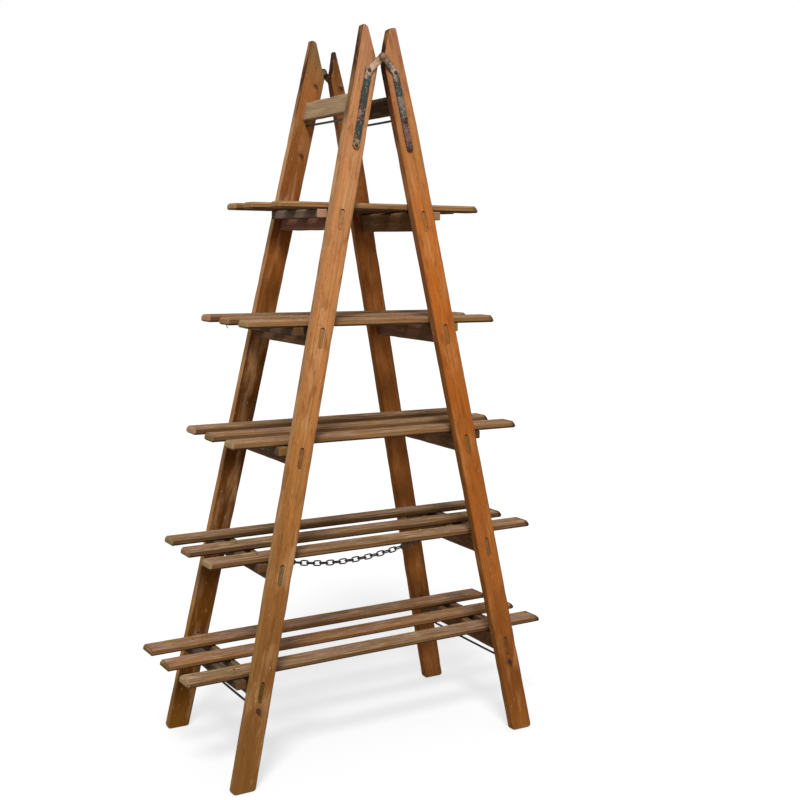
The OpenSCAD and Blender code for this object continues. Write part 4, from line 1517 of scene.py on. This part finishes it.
def camera():
    """Camera at the photograph's view."""
    data = bpy.data.cameras.new("photograph")
    data.sensor_fit = "HORIZONTAL"
    data.sensor_width = SENSOR_MM
    data.lens = CAMERA_LENS_MM
    data.clip_end = CLIP_END
    level = Vector((math.cos(CAMERA_YAW), -math.sin(CAMERA_YAW), 0))
    ahead = Vector((math.sin(CAMERA_YAW), math.cos(CAMERA_YAW), 0)) * math.cos(CAMERA_PITCH)
    ahead.z = math.sin(CAMERA_PITCH)
    up = level.cross(ahead)
    right = level * math.cos(CAMERA_ROLL) + up * math.sin(CAMERA_ROLL)
    up = up * math.cos(CAMERA_ROLL) - level * math.sin(CAMERA_ROLL)
    turn = Matrix((right, up, -ahead)).transposed()
    view = linked("photograph", data)
    view.matrix_world = Matrix.Translation(CAMERA_AT) @ turn.to_4x4()
    bpy.context.scene.camera = view


def sun():
    data = bpy.data.lights.new("key", "SUN")
    data.energy = SUN_LIGHT
    data.angle = SUN_WIDTH
    linked("key", data).rotation_euler = SUN_TURN


def seen_by_eye(net):
    """1 where the camera looks straight at a surface or sees it in gloss or through glass, and 0 for lighting."""
    path = net.add("ShaderNodeLightPath")
    seen = net.calc("MAXIMUM", path["Is Camera Ray"], path["Is Glossy Ray"])
    return net.calc("MAXIMUM", seen, path["Is Transmission Ray"])


def studio_world():
    """White where it is looked at, and a softer light on the object."""
    world = bpy.data.worlds.new("studio")
    bpy.context.scene.world = world
    world.use_nodes = True
    net = Net(world.node_tree)
    lit = net.add("ShaderNodeBackground", {"Color": WHITE, "Strength": SKY_LIGHT})[0]
    white = net.add("ShaderNodeBackground", {"Color": WHITE, "Strength": 1.0})[0]
    sky = net.add("ShaderNodeMixShader", {0: seen_by_eye(net), 1: lit, 2: white})[0]
    net.add("ShaderNodeOutputWorld", {"Surface": sky})


def floor():
    """A wide pale floor that keeps the object's shadow."""
    colours, far = settings().colours, FLOOR_REACH
    corners = [(-far, -far, 0), (far, -far, 0), (far, far, 0), (-far, far, 0)]
    plane = linked("floor", new_mesh("floor", corners, [], [(0, 1, 2, 3)]))
    plane.location.z = FLOOR_DROP
    material = bpy.data.materials.new("pale_floor")
    material.use_nodes = True
    net = Net(material.node_tree)
    seen = seen_by_eye(net)
    painted = net.mixed(seen, (*colours.bounce, 1), (*colours.floor, 1))
    painted = net.add("ShaderNodeBsdfDiffuse", {"Color": painted})[0]
    glow = net.add("ShaderNodeEmission", {"Color": WHITE, "Strength": 1.0})[0]
    share = net.calc("MULTIPLY", seen, FLOOR_GLOW)
    both = net.add("ShaderNodeMixShader", {0: share, 1: painted, 2: glow})[0]
    net.add("ShaderNodeOutputMaterial", {"Surface": both})
    plane.data.materials.append(material)


class PLANTLADDER_OT_stage(bpy.types.Operator):
    """Set the camera, the world, the floor and the sun"""

    bl_idname = "plantladder.stage"
    bl_label = "Stage"

    def execute(self, context):
        context.scene.view_settings.view_transform = "Standard"
        camera()
        studio_world()
        floor()
        sun()
        return {"FINISHED"}


# ---- add-on ----

OPERATORS = (
    PLANTLADDER_OT_legs,
    PLANTLADDER_OT_rungs,
    PLANTLADDER_OT_shelves,
    PLANTLADDER_OT_nails,
    PLANTLADDER_OT_bolts,
    PLANTLADDER_OT_hinge,
    PLANTLADDER_OT_chain,
    PLANTLADDER_OT_stage,
)


class PLANTLADDER_PT_panel(bpy.types.Panel):
    """Settings and makers of the plant ladder stand"""

    bl_label = "Plant ladder"
    bl_idname = "PLANTLADDER_PT_panel"
    bl_space_type = "VIEW_3D"
    bl_region_type = "UI"
    bl_category = "Plant ladder"

    def draw(self, context):
        chosen = context.scene.plant_ladder
        for group in (chosen.frames, chosen.rungs, chosen.shelves, chosen.iron, chosen.colours):
            box = self.layout.box()
            for key in group.bl_rna.properties.keys()[2:]:
                box.prop(group, key)
        for operator in OPERATORS:
            self.layout.operator(operator.bl_idname)


CLASSES = (
    LadderFrameSettings,
    RungSettings,
    ShelfSettings,
    IronSettings,
    ColourSettings,
    PlantLadderSettings,
    *OPERATORS,
    PLANTLADDER_PT_panel,
)


def register():
    for entry in CLASSES:
        bpy.utils.register_class(entry)
    bpy.types.Scene.plant_ladder = PointerProperty(type=PlantLadderSettings)


def unregister():
    del bpy.types.Scene.plant_ladder
    for entry in reversed(CLASSES):
        bpy.utils.unregister_class(entry)


def main():
    register()
    for operator in OPERATORS:
        group, action = operator.bl_idname.split(".")
        getattr(getattr(bpy.ops, group), action)()


if __name__ == "__main__":
    main()
